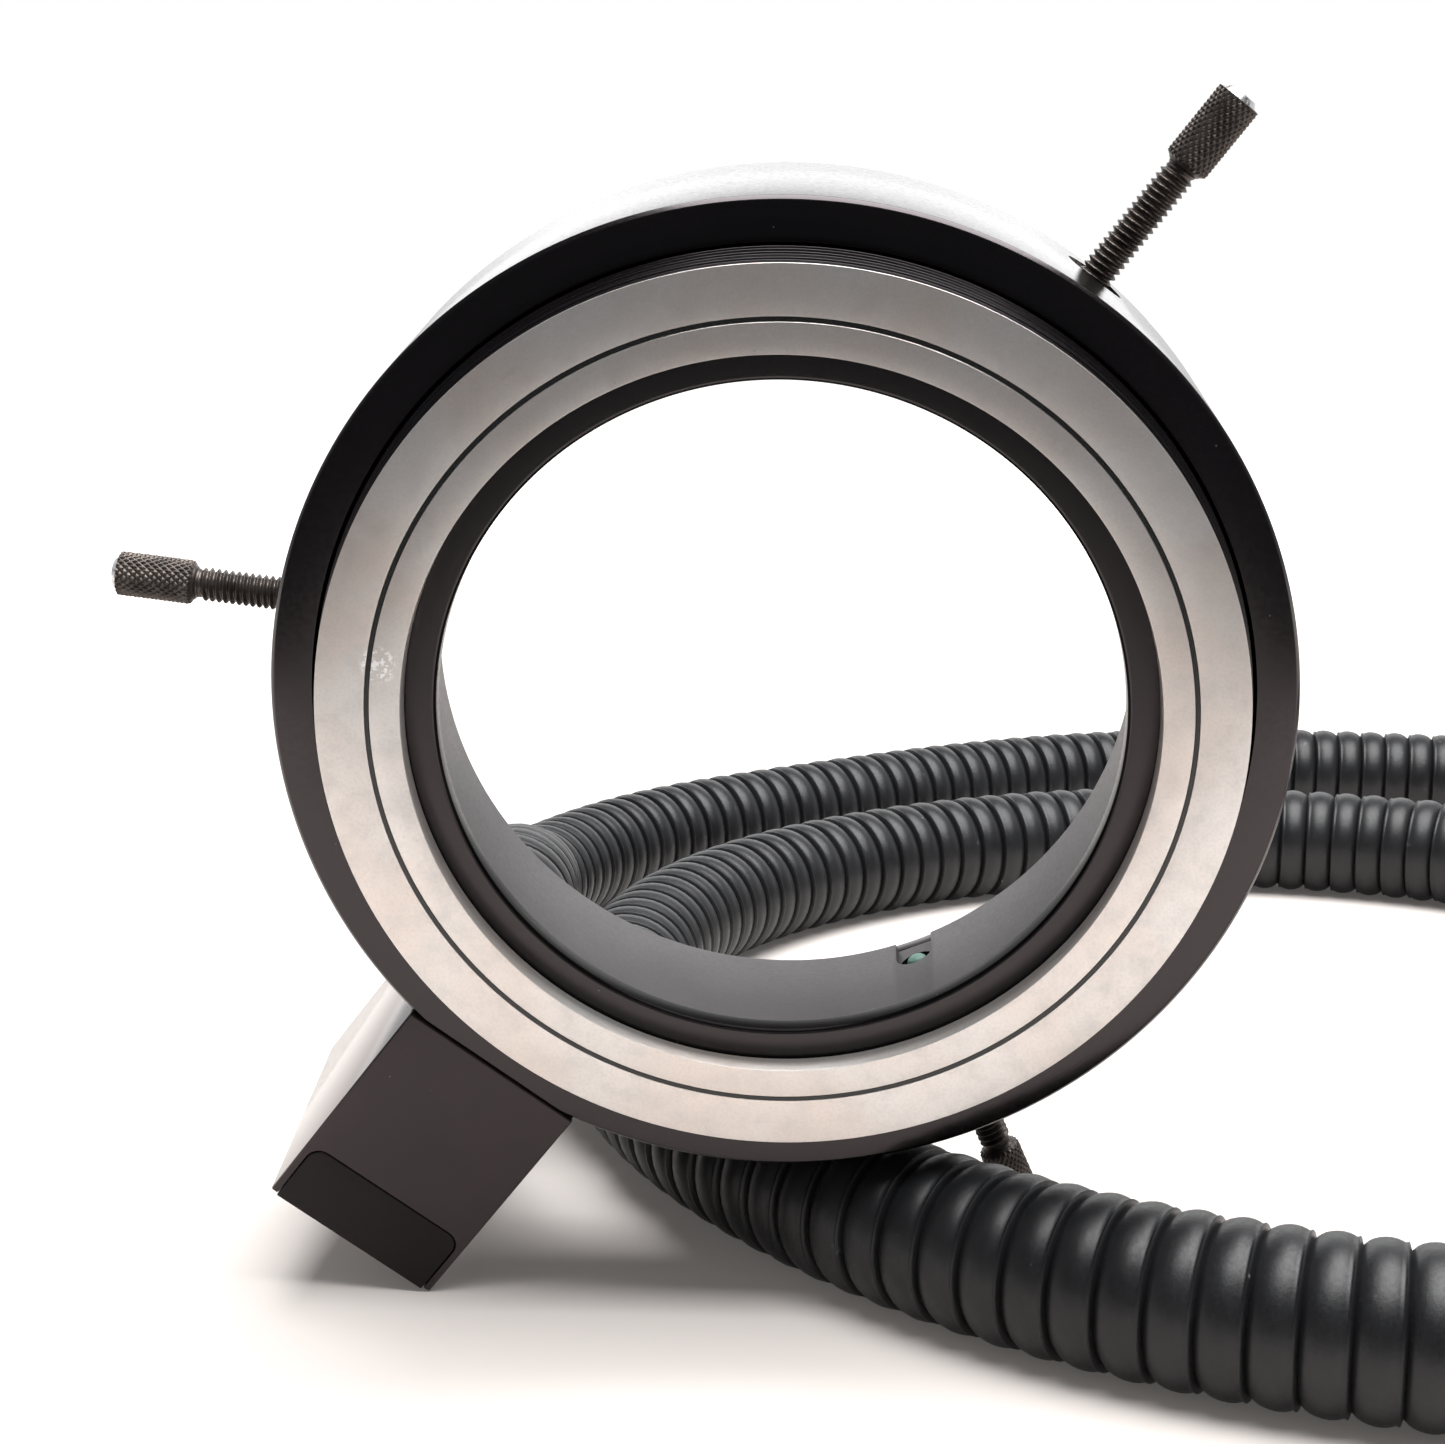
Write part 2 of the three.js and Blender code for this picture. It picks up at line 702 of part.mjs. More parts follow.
// A smooth curve that runs near its points, and dead straight between four points in line.
class Route extends THREE.Curve {
  constructor(points) {
    super();
    this.points = points;
    this.arcLengthDivisions = routeSteps * (points.length - 3);
  }

  getPoint(share, target = new THREE.Vector3()) {
    const spans = this.points.length - 3;
    const first = Math.min(Math.floor(share * spans), spans - 1);
    const t = share * spans - first;
    const weights = [
      (1 - t) ** 3 / 6,
      (3 * t ** 3 - 6 * t ** 2 + 4) / 6,
      (-3 * t ** 3 + 3 * t ** 2 + 3 * t + 1) / 6,
      t ** 3 / 6,
    ];
    target.set(0, 0, 0);
    weights.forEach((weight, i) => target.addScaledVector(this.points[first + i], weight));
    return target;
  }
}

// From the fitting on the block, along the listed points, to the collar of the far end.
function buildRoute(inletMatrix) {
  const start = new THREE.Vector3(0, hoseStartZ, hoseRadial).applyMatrix4(inletMatrix);
  const away = new THREE.Vector3(0, -1, 0).transformDirection(inletMatrix);
  const points = [-1, 0, 1, 2].map((runs) => start.clone().addScaledVector(away, runs * inletRun));
  for (const [x, y, height = hoseRadius] of hoseRoute) {
    points.push(new THREE.Vector3(x, y, height));
  }
  const last = points[points.length - 1];
  const onward = last.clone().sub(points[points.length - 2]).normalize();
  for (const runs of [1, 2]) {
    points.push(last.clone().addScaledVector(onward, runs * endRun));
  }
  return new Route(points);
}

// Place and level frame at a distance along the route; past its ends the line runs straight on.
function stationFrame(route, distance) {
  const total = route.getLength();
  const share = THREE.MathUtils.clamp(distance / total, 0, 1);
  const along = route.getTangentAt(share);
  const place = route.getPointAt(share).addScaledVector(along, distance - share * total);
  const side = new THREE.Vector3(0, 0, 1).cross(along).normalize();
  const up = along.clone().cross(side);
  return new THREE.Matrix4().makeBasis(side, up, along).setPosition(place);
}

// One ring of points round the route, with a flat side down.
function ringOf(route, distance, radius) {
  const frame = stationFrame(route, distance);
  const ring = [];
  for (let i = 0; i < hoseSides; i += 1) {
    const angle = (2 * Math.PI * (i + 0.5)) / hoseSides;
    const point = new THREE.Vector3(radius * Math.cos(angle), radius * Math.sin(angle), 0);
    ring.push(point.applyMatrix4(frame));
  }
  return ring;
}

// Skins rings of equal size one to the next, facing outwards for rings in the route's order.
function skin(rings, closed) {
  const positions = rings.flat().flatMap((point) => point.toArray());
  const index = [];
  const count = closed ? rings.length : rings.length - 1;
  for (let i = 0; i < count; i += 1) {
    const here = i * hoseSides;
    const next = ((i + 1) % rings.length) * hoseSides;
    for (let j = 0; j < hoseSides; j += 1) {
      const k = (j + 1) % hoseSides;
      index.push(here + j, here + k, next + k, here + j, next + k, next + j);
    }
  }
  if (!closed) {
    const last = (rings.length - 1) * hoseSides;
    for (let j = 1; j < hoseSides - 1; j += 1) {
      index.push(0, j + 1, j, last, last + j, last + j + 1);
    }
  }
  const geometry = new THREE.BufferGeometry();
  geometry.setAttribute('position', new THREE.Float32BufferAttribute(positions, 3));
  geometry.setIndex(index);
  geometry.computeVertexNormals();
  return geometry;
}

// Where the bore turns: at every few ribs, and where the straight runs end.
function boreStations(total) {
  const count = ribCount / ribsPerBoreRing;
  const stations = [];
  for (let i = 0; i <= count; i += 1) {
    stations.push((total * i) / count);
  }
  stations.push(inletRun, total - endRun);
  return stations.sort((a, b) => a - b);
}

function ribbedHose(route) {
  const total = route.getLength();
  const pitch = total / ribCount;
  const outside = [ringOf(route, 0, hoseCornerRadius)];
  for (let i = 0; i < ribCount; i += 1) {
    outside.push(ringOf(route, (i + 0.5) * pitch, hoseCornerRadius - ribHeight));
    outside.push(ringOf(route, (i + 1) * pitch, hoseCornerRadius));
  }
  const inside = boreStations(total).map((distance) => ringOf(route, distance, hoseBoreRadius));
  return { geometry: skin([...outside, ...inside.reverse()], true), outside };
}

// The least distance between parts of the hose that are further along it than its own girth.
function leastGap(outside, total) {
  const pitch = total / (outside.length - 1);
  const apart = Math.ceil((2 * Math.PI * hoseRadius) / pitch);
  let least = Infinity;
  for (let i = 0; i < outside.length; i += 1) {
    for (let j = i + apart; j < outside.length; j += 1) {
      for (const a of outside[i]) {
        for (const b of outside[j]) {
          least = Math.min(least, a.distanceTo(b));
        }
      }
    }
  }
  return least;
}

// From behind the bend in the block's fitting, through the hose and the collar, to the face piece.
function fibreBundle(route) {
  const total = route.getLength();
  const last = total + sourceEnd - faceDepth - clearance;
  const stations = [spigotLength + clearance];
  stations.push(...boreStations(total).filter((distance) => distance > stations[0] && distance < total));
  stations.push(last);
  return skin(stations.map((distance) => ringOf(route, distance, bundleRadius)), false);
}

function buildConduit(inletMatrix) {
  const route = buildRoute(inletMatrix);
  const total = route.getLength();
  const conduit = new THREE.Group();
  const { geometry, outside } = ribbedHose(route);
  console.log('hose length', total, 'least gap to itself', leastGap(outside, total));
  const end = stationFrame(route, total);
  conduit.add(named('hose', geometry, conduitCover));
  conduit.add(named('fibre_bundle', fibreBundle(route), glassFibre));
  conduit.add(named('source_collar', sourceCollar(), brightSteel, end));
  conduit.add(named('source_ferrule', sourceFerrule(), brightSteel, end));
  conduit.add(named('source_face', sourceFace(), glassFibre, end));
  conduit.add(named('source_set_screw', sourceSetScrew(), blackOxide, end));
  return conduit;
}

// Far end, along Z with the hose's end face at 0

function sourceCollar() {
  const start = clearance;
  const end = clearance + collarLength;
  const body = turned([
    [sleeveBoreRadius, -spigotLength],
    [spigotRadius, -spigotLength],
    [spigotRadius, start],
    [collarRadius, start],
    [collarRadius, end - collarChamfer],
    [collarRadius - collarChamfer, end],
    [sourceRadius + clearance, end],
    [sourceRadius + clearance, end - collarSocketDepth],
    [sleeveBoreRadius, end - collarSocketDepth],
  ], boreSides);
  const hole = rod(grubRadius + clearance, sourceRadius - clearance, collarRadius + overrun, smallSides);
  return cut(body, [sourceGrubPlace(hole)]);
}

// Points a piece built along Z upwards, over the middle of the collar's socket.
function sourceGrubPlace(geometry) {
  return geometry.rotateX(-Math.PI / 2).translate(0, 0, clearance + collarLength - collarSocketDepth / 2);
}

function sourceFerrule() {
  const start = clearance + collarLength - collarSocketDepth + clearance;
  return turned([
    [sleeveBoreRadius, start],
    [sourceRadius, start],
    [sourceRadius, sourceEnd - sourceChamfer],
    [sourceRadius - sourceChamfer, sourceEnd],
    [sleeveBoreRadius, sourceEnd],
  ], boreSides);
}

function sourceFace() {
  return rod(bundleRadius, sourceEnd - faceDepth, sourceEnd, boreSides);
}

function sourceSetScrew() {
  const from = sourceRadius + clearance;
  const body = rod(grubRadius, from, from + sourceGrubLength, smallSides);
  const top = from + sourceGrubLength;
  const socket = rod(grubSocketRadius, top - sourceGrubSocket, top + overrun, 6);
  return sourceGrubPlace(cut(body, [socket]));
}

const group = new THREE.Group();
const head = buildHead();
standUp(head);
group.add(head);
group.add(buildConduit(head.matrixWorld.clone().multiply(radialFrame(inletDegrees, 0))));

export default group;
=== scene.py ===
"""Ring light guide: an annular fibre-optic head with thumb screws, an inlet block and a ribbed conduit.

The head's pieces are drawn in the head's own frame, in millimetres, with its axis along Z and its
light face at 0, and are then leaned forwards and stood up. Everything ends in metres.
"""
import math

import bmesh
import bpy
import numpy as np
from mathutils import Matrix, Vector


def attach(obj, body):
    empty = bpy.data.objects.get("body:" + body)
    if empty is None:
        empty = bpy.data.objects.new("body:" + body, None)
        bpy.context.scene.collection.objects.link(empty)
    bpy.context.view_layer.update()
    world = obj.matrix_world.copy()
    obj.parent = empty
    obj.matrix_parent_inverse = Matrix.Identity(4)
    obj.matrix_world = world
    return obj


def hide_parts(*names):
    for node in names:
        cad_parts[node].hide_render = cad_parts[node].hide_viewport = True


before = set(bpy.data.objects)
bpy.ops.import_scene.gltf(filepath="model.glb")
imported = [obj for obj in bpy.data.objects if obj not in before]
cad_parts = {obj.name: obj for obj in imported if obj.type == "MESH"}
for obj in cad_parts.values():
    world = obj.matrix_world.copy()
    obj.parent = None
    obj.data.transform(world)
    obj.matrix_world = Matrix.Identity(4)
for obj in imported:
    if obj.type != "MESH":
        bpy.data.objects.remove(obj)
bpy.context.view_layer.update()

MM = 0.001
SIDES = 256

# Pose of the head, in millimetres and degrees
LEAN = 9.9
HEAD_PLACE = (9.052576, -22.569736, 58.416796)
HEAD_TURN = Matrix.Rotation(math.radians(90 + LEAN), 4, "X")
HEAD = Matrix.Translation(Vector(HEAD_PLACE)) @ HEAD_TURN

# How far a cutter reaches past the face that it opens, and the gap left round pieces in their seats
PAST = 1
SEAT_GAP = 0.3

# Ring body and what it carries
BORE_R = 33
LIP_R = 30.1
WALL_R = 34.3
BODY_R = 45
EDGE_BEVEL = 0.35
ANNULUS_Z = -4
REAR_Z = -24.9
LAND_Z = -23.1
LEDGE_Z = -9
THROAT_R = 37.62
CHANNEL_TOP_Z = -10.5
CHANNEL_FLOOR_Z = -16.5
CHANNEL_R = 42.2
LIP_FRONT_Z = -2.6
LIP_REAR_Z = -4.7
LIP_SEAT_R = 32.7
LIP_BEVEL = 0.3
LIP_LAP = 0.1
BORE_FRONT_Z = -4.9
SLOT_INNER_R = 35.48
SLOT_OUTER_R = 35.92
SLOT_DEEP_Z = -3.3
FACE_INNER_R = 32.8
FACE_OUTER_R = 40.25
FACE_BASE_R = 40.94
FACE_BACK_Z = -2.3
FACE_STEPS = 3
# The outer face ring is bare metal down to this depth, and all over inside this radius
BARE_DEPTH = 0.05
BARE_R = 37
FIBRE_SINK = 0.03
FIBRE_GAP = 0.05
FIBRE_DEEP_Z = -3.8
FIBRE_BEND_R = 36.95
FIBRE_NECK_R = 37.3
FLAT_R = 44

# Rear cover and its countersunk screws
COVER_RIM_R = 43.5
COVER_INNER_R = 34
COVER_THICKNESS = 1.5
COVER_SCREW_R = 35.8
COVER_SCREWS = 6
COVER_SCREW_PHASE = 2.67
SINK_R = 1.6
SINK_DEPTH = 0.8
SINK_HOLE_R = 0.85
SINK_HOLE_DEPTH = 2.5
REAR_HEAD_R = 1.42
REAR_HEAD_DEPTH = 0.75
REAR_SHANK_R = 0.75
REAR_SHANK_LENGTH = 4.6
REAR_SOCKET_R = 0.6
REAR_SOCKET_DEPTH = 0.5
REAR_SCREW_SINK = 0.02

# Thumb screws: place round the ring, and how far the head stands from the axis
SCREWS = [(52.67, 56.6), (172.67, 55.5), (292.67, 55.75)]
SCREW_SETBACK = 19.6
THREAD_START = 0.95
THREAD_R = 1.5875
THREAD_LENGTH = 22.225
THREAD_PITCH = 0.635
THREAD_DEPTH = 0.34
THREAD_FLANK = 1.35
THREAD_CREST = 0.15
THREAD_CLEARANCE = 0.2
THREAD_STEPS = 12
THREAD_LEAD_IN = 0.4
THREAD_LEAD_OUT = 0.5
THREAD_END_R = THREAD_R - 0.42
TIP_HOLE_R = 0.7
NECK_R = 1.35
NECK_LENGTH = 0.2
NECK_FILLET = 0.1
SHOULDER_RADII = (1.35, 1.5, 1.6)
SHOULDER_SLOPE = 0.6
KNOB_R = 2.1
KNOB_LENGTH = 7.9
KNURL_COUNT = 22
KNURL_PITCH = 0.81
KNURL_DEPTH = 0.17
KNURL_FLANK = 1.25
KNURL_CREST = 0.2
KNURL_STEPS = 14
KNURL_CORE_R = 1.62
KNURL_START = 0.22
KNURL_END = 0.5
KNURL_LEAD_IN = 0.35
KNURL_LEAD_OUT = 0.12
KNURL_LAST = 0.4
# Rounded end of the knurled head: distance under its top, and radius
KNOB_END = [(0.5, 1.68), (0.12, 1.4), (0.03, 1.3), (0, 1.2)]
KNOB_DISH = 0.02

# Soft tips, and the spot faces and notches that belong to the screws
TIP_R = 1.0
TIP_THICKNESS = 0.8
TIP_DOME = 0.35
TIP_EDGE = 0.15
TIP_STEM_R = 0.5
TIP_STEM_END = 2
SPOT_R = 3
SPOT_FLARE = 0.1
SPOT_DEPTH = 0.4
NOTCH_WIDTH = 3.7
NOTCH_DEPTH = 0.85

# Inlet block, in the radial frame of the inlet
INLET = 232.67
BLOCK_WIDTH = 18.5
BLOCK_INNER = 44.3
BLOCK_OUTER = 68.4
BLOCK_REAR = -32.2
PLATE_LENGTH = 6.8
PLATE_DEPTH = 5.2
PLATE_WALL = 0.7
PLATE_GAP = 0.13
PLATE_PROUD = 0.2
PLATE_LIFT = 0.02
PLATE_CORNER = 1.5
PLATE_SLOT_CORNER = 1.6

# Set screws at both ends of the conduit; length and setback are those of the block's
GRUB_R = 1.25
GRUB_LENGTH = 4.6
GRUB_SETBACK = 3.4
SOCKET_R = 0.7

# Fitting between block and conduit
HOSE_RADIAL = 56.35
HOSE_START = -34.8
FITTING_R = 4.7
FITTING_BORE_R = 5.0
FITTING_BORE_DEPTH = 6.8
FITTING_DEPTH = 6.5
FLANGE_R = 7.6
PLUG_R = 4.2
PLUG_LENGTH = 9.5
BUNDLE_R = 3.57

# Conduit
HOSE_R = 8.0
HOSE_BORE_R = 4.871
HOSE_SIDES = 40
RIB_PITCH = 4.15
INLET_RUN = 12
END_RUN = 17
# Points of the route in one span, how many of them make one point of the cord's path, and how far
# behind and ahead of a place the conduit's direction is measured
ROUTE_STEPS = 96
PATH_EVERY = 16
AIM = 0.4
# Controls of the route after the inlet, which lie on the floor where no height is given
HOSE_ROUTE = [
    (-25.2, 61.8, 23.3), (-28.7, 83.2, 15.6), (-31.8, 98.4, 11.8), (-31.2, 115.5, 8.9),
    (-26.2, 133.9), (-14.1, 152.7), (8.4, 170.8), (32.9, 189.6), (60.8, 203.6), (91.8, 207.9),
    (123.8, 202), (160.8, 193.9), (195.8, 179.5), (229.8, 157), (253.8, 125), (262.8, 87),
    (253.8, 48), (230.8, 16), (195.8, -7.5), (158.8, -24), (118.8, -33), (80.5, -34.4),
    (51.8, -27.7), (29.2, -16.4), (6, 5), (-10, 34.8), (-14.9, 66), (-10.6, 95.9), (3.7, 122.1),
    (27.8, 142.8), (56.7, 155), (86.7, 154.6), (115.7, 144.5), (139.9, 123.5), (152.8, 95), (153.8, 64),
]
# One rib's outline: share of the pitch, and depth under the crest
RIB = [
    (0.0, 0.95), (0.025, 0.6), (0.045, 0.3), (0.07, 0.2), (0.095, 0.27), (0.14, 0.31), (0.2, 0.2),
    (0.3, 0.07), (0.42, 0.0), (0.55, 0.02), (0.68, 0.12), (0.8, 0.29), (0.9, 0.54), (0.96, 0.78),
]

# Far end, along the conduit from where it stops
COLLAR_R = 7.6
COLLAR_END = 14.3
COLLAR_BEVEL = 0.8
COLLAR_GROOVE = (5.4, 6.6)
COLLAR_GROOVE_R = 7.25
COLLAR_SCREW = 10.3
SOURCE_R = 5.5
SOURCE_START = 6.6
SOURCE_END = 48.6
SOURCE_BEVEL = 0.6
SOURCE_GROOVE = (30, 32)
SOURCE_GROOVE_R = 5.2
SOURCE_FIBRE_R = 3.2
SOURCE_FIBRE_DEPTH = 1.8

# Camera: place in millimetres, the horizontal direction in which it looks, and its pitch
CAMERA_PLACE = (14.4426, -220.97, 96.52)
CAMERA_ALONG = (-0.05138, 0.99868)
CAMERA_PITCH = 10.6
CAMERA_LENS = 58.57
CAMERA_SENSOR = 36
CAMERA_CLIP = (0.01, 50)

# Stage, in metres: the paper, how bright it is near the object, and the room's light
FLOOR_MIDDLE = (0.06, 0.08)
FLOOR_FADE = (0.25, 0.6)
FLOOR_REACH = 6
FLOOR_FRONT = -0.13
PAPER = (0.61, 0.57, 0.545)
PAPER_GLOW = (1, 0.94, 0.9)
PAPER_LIFT = 0.07
WHITE = (1, 1, 1)
ROOM = (0.085, 0.09, 0.1)
AMBIENT = 0.3
# Where the mirrored room turns into the white backdrop: towards the rear, and downwards
ROOM_TO_REAR = (-0.1, 0.35)
ROOM_TO_LOW = (0.75, 0.45)

# Lamps: place, target and size in metres, and power
LAMPS = {
    "overhead": ((0.2, -0.03, 0.9), (0.2, -0.03, 0.0), (0.9, 0.9), 27),
    "backlight": ((0.05, 1.1, 0.42), (0.05, 0.05, 0.05), (1.0, 0.4), 1.6),
}

# Colours of the finishes
ANODISED = (0.0022, 0.0019, 0.002)
ANODISED_SHINE = (1.0, 0.89, 0.92)
# The bore's colour is partly its own grey and partly painted sheen, lighter than the other anodising to
# stand in for its reflection
BORE_GREY_AND_SHEEN = (0.027, 0.0268, 0.0272)
ANODISED_LIP = (0.004, 0.0037, 0.0038)
ANODISED_BLOCK = (0.015, 0.0105, 0.0108)
ANODISED_PLATE = (0.0042, 0.003, 0.0032)
DUST = (0.35, 0.33, 0.31)
METAL_WARM = (0.68, 0.612, 0.568)
METAL_COOL = (0.695, 0.67, 0.65)
METAL_STAIN = (0.53, 0.52, 0.51)
METAL_GRAIN = (0.5, 0.475, 0.46)
FIBRE_GLINT = (0.05, 0.05, 0.045)
FIBRE_RESIN = (0.008, 0.008, 0.008)
OXIDE_DARK = (0.05, 0.042, 0.038)
OXIDE_LIGHT = (0.095, 0.08, 0.071)
STEEL_DARK = (0.5, 0.5, 0.505)
STEEL_LIGHT = (0.62, 0.62, 0.62)
VINYL_DARK = (0.005, 0.0052, 0.0062)
VINYL_LIGHT = (0.009, 0.0093, 0.0105)
VINYL_DUST = (0.3, 0.3, 0.32)
TIP_GREEN = (0.12, 0.24, 0.2)
BUNDLE_CREAM = (0.4, 0.37, 0.28)

# Middle of the bright flakes on the inner face ring, wear painted white as glints, in the head's frame,
# and their fade
WORN_GLINT_PATCH = (-34.3, 5.9, 0)
WORN_GLINT_FADE = (1.9, 1.1)


# Frames

def radial_frame(degrees, setback=0.0):
    """X across, Y the way the light goes, Z outwards along the ring's radius."""
    angle = math.radians(degrees)
    out = Vector((math.cos(angle), math.sin(angle), 0))
    light = Vector((0, 0, 1))
    across = light.cross(out)
    matrix = Matrix((across, light, out)).transposed().to_4x4()
    matrix.translation = Vector((0, 0, -setback))
    return matrix


def to_metres(matrix):
    return Matrix.Scale(MM, 4) @ matrix


# Turns of the Z axis of a radial frame: to the way the light goes, and to the opposite way
ALONG_LIGHT = Matrix.Rotation(-math.pi / 2, 4, "X")
AGAINST_LIGHT = Matrix.Rotation(math.pi / 2, 4, "X")


# Camera

def make_camera():
    pitch = math.radians(CAMERA_PITCH)
    flat = Vector((*CAMERA_ALONG, 0)).normalized() * math.cos(pitch)
    direction = flat + Vector((0, 0, -math.sin(pitch)))
    data = bpy.data.cameras.new("camera")
    data.lens = CAMERA_LENS
    data.sensor_width = CAMERA_SENSOR
    data.clip_start, data.clip_end = CAMERA_CLIP
    camera = bpy.data.objects.new("camera", data)
    camera.matrix_world = direction.to_track_quat("-Z", "Y").to_matrix().to_4x4()
    camera.location = Vector(CAMERA_PLACE) * MM
    bpy.context.scene.collection.objects.link(camera)
    bpy.context.scene.camera = camera


# Meshes

def grid_faces(rows, columns, closed):
    """Faces between rows of points that each go once round."""
    faces = []
    for i in range(rows if closed else rows - 1):
        here = i * columns
        following = (i + 1) % rows * columns
        for j in range(columns):
            k = (j + 1) % columns
            faces.append((here + j, here + k, following + k, following + j))
    return faces


def new_piece(name, points, faces):
    mesh = bpy.data.meshes.new(name)
    mesh.from_pydata([tuple(point) for point in points], [], faces)
    work = bmesh.new()
    work.from_mesh(mesh)
    bmesh.ops.recalc_face_normals(work, faces=work.faces)
    work.to_mesh(mesh)
    work.free()
    piece = bpy.data.objects.new(name, mesh)
    bpy.context.scene.collection.objects.link(piece)
    return piece


def soften(outline, rounding, steps=3, most=0.45):
    """Rounds each corner of a closed outline, with at most a share of each side; the axis stays."""
    points = [Vector(point) for point in outline]
    result = []
    for i, corner in enumerate(points):
        if corner.x == 0 or rounding == 0:
            result.append(tuple(corner))
            continue
        back = points[i - 1] - corner
        ahead = points[(i + 1) % len(points)] - corner
        start = corner + back.normalized() * min(rounding, back.length * most)
        end = corner + ahead.normalized() * min(rounding, ahead.length * most)
        for k in range(steps + 1):
            t = k / steps
            point = start * (1 - t) ** 2 + corner * 2 * t * (1 - t) + end * t ** 2
            result.append(tuple(point))
    return result


def turned(name, outline, sides=SIDES, rounding=0.0):
    """A solid of revolution about Z, from an outline of (radius, height) points."""
    outline = soften(outline, rounding)
    solid = [point for point in outline if point[0] > 0]
    on_axis = len(solid) < len(outline)
    turns = [2 * math.pi * j / sides for j in range(sides)]
    points = [(r * math.cos(a), r * math.sin(a), z) for r, z in solid for a in turns]
    faces = grid_faces(len(solid), sides, closed=not on_axis)
    if on_axis:
        first = len(points)
        points += [(0, 0, outline[0][1]), (0, 0, outline[-1][1])]
        last_ring = (len(solid) - 1) * sides
        for j in range(sides):
            k = (j + 1) % sides
            faces.append((first, k, j))
            faces.append((first + 1, last_ring + j, last_ring + k))
    return new_piece(name, points, faces)


def rod(name, radius, low, high, sides=48, rounding=0.0):
    outline = [(0, low), (radius, low), (radius, high), (0, high)]
    return turned(name, outline, sides, rounding)


def slab(name, low, high, rounding=0.0):
    """A box, with its edges rounded."""
    piece = new_piece(name, [], [])
    work = bmesh.new()
    bmesh.ops.create_cube(work, size=1)
    for vert in work.verts:
        vert.co = Vector(l + (h - l) * (c + 0.5) for l, h, c in zip(low, high, vert.co))
    if rounding:
        bmesh.ops.bevel(work, geom=work.edges[:], offset=rounding, segments=4, profile=0.5,
                        affect="EDGES")
    work.to_mesh(piece.data)
    work.free()
    return piece


def plate(name, outline, low, high, rounding=0.0):
    """An outline drawn in X and Z, given thickness along Y, with its front and rear edges rounded."""
    piece = new_piece(name, [], [])
    work = bmesh.new()
    verts = [work.verts.new((x, low, z)) for x, z in outline]
    face = work.faces.new(verts)
    grown = bmesh.ops.extrude_face_region(work, geom=[face])
    for item in grown["geom"]:
        if isinstance(item, bmesh.types.BMVert):
            item.co.y = high
    bmesh.ops.recalc_face_normals(work, faces=work.faces)
    if rounding:
        rims = [e for e in work.edges if abs(e.verts[0].co.y - e.verts[1].co.y) < 1e-6]
        bmesh.ops.bevel(work, geom=rims, offset=rounding, segments=3, profile=0.5, affect="EDGES")
    work.to_mesh(piece.data)
    work.free()
    return piece


def place(piece, matrix):
    piece.data.transform(matrix)
    return piece


def cut(piece, cutters):
    """Takes the cutters' shapes out of a piece, and the cutters out of the scene."""
    for cutter in cutters:
        modifier = piece.modifiers.new("cut", "BOOLEAN")
        modifier.operation = "DIFFERENCE"
        modifier.solver = "EXACT"
        modifier.object = cutter
    graph = bpy.context.evaluated_depsgraph_get()
    mesh = bpy.data.meshes.new_from_object(piece.evaluated_get(graph))
    piece.modifiers.clear()
    old = piece.data
    piece.data = mesh
    mesh.name = piece.name
    bpy.data.meshes.remove(old)
    for cutter in cutters:
        bpy.data.meshes.remove(cutter.data)
    return piece


def settle(piece, matrix, nodes, materials, body="head", zone=None, crease=32):
    """Stands a finished piece in place, gives it its finish and hides the CAD parts that it stands for.
    """
    mesh = piece.data
    mesh.materials.clear()
    for material in materials:
        mesh.materials.append(material)
    if zone:
        for polygon in mesh.polygons:
            polygon.material_index = zone(polygon.center, polygon.normal)
    mesh.transform(to_metres(matrix))
    mesh.shade_smooth()
    mesh.set_sharp_from_angle(angle=math.radians(crease))
    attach(piece, body)
    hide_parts(*nodes)
    return piece


# Shader tools

def node(tree, kind, inputs=None, **settings):
    made = tree.nodes.new(kind)
    for key, value in settings.items():
        setattr(made, key, value)
    for key, value in (inputs or {}).items():
        if isinstance(value, bpy.types.NodeSocket):
            tree.links.new(value, made.inputs[key])
        else:
            made.inputs[key].default_value = value
    return made


def sums(tree, operation, first, second=0.0):
    return node(tree, "ShaderNodeMath", {0: first, 1: second}, operation=operation).outputs[0]


def spread(tree, value, low, high, to_low=0.0, to_high=1.0):
    """A value's range moved smoothly to another range."""
    inputs = {"Value": value, "From Min": low, "From Max": high, "To Min": to_low, "To Max": to_high}
    return node(tree, "ShaderNodeMapRange", inputs, interpolation_type="SMOOTHSTEP").outputs["Result"]


def blend_colour(tree, share, first, second):
    made = node(tree, "ShaderNodeMix", {0: share}, data_type="RGBA")
    for index, value in ((6, first), (7, second)):
        if isinstance(value, bpy.types.NodeSocket):
            tree.links.new(value, made.inputs[index])
        else:
            made.inputs[index].default_value = (*value, 1)
    return made.outputs[2]


def cloud(tree, vector, scale, detail, roughness=0.5):
    inputs = {"Vector": vector, "Scale": scale, "Detail": detail, "Roughness": roughness}
    return node(tree, "ShaderNodeTexNoise", inputs).outputs[0]


def streaks(tree, value, scale, detail):
    """Noise along one length only, as turning or grinding leaves."""
    inputs = {"W": value, "Scale": scale, "Detail": detail}
    return node(tree, "ShaderNodeTexNoise", inputs, noise_dimensions="1D").outputs[0]


def raised(tree, height, distance, normal=None):
    inputs = {"Height": height, "Distance": distance * MM, "Strength": 1.0}
    if normal:
        inputs["Normal"] = normal
    return node(tree, "ShaderNodeBump", inputs).outputs[0]


def apart(tree, vector, point):
    """Distance of a place from a point."""
    return node(tree, "ShaderNodeVectorMath", {0: vector, 1: point},
                operation="DISTANCE").outputs["Value"]


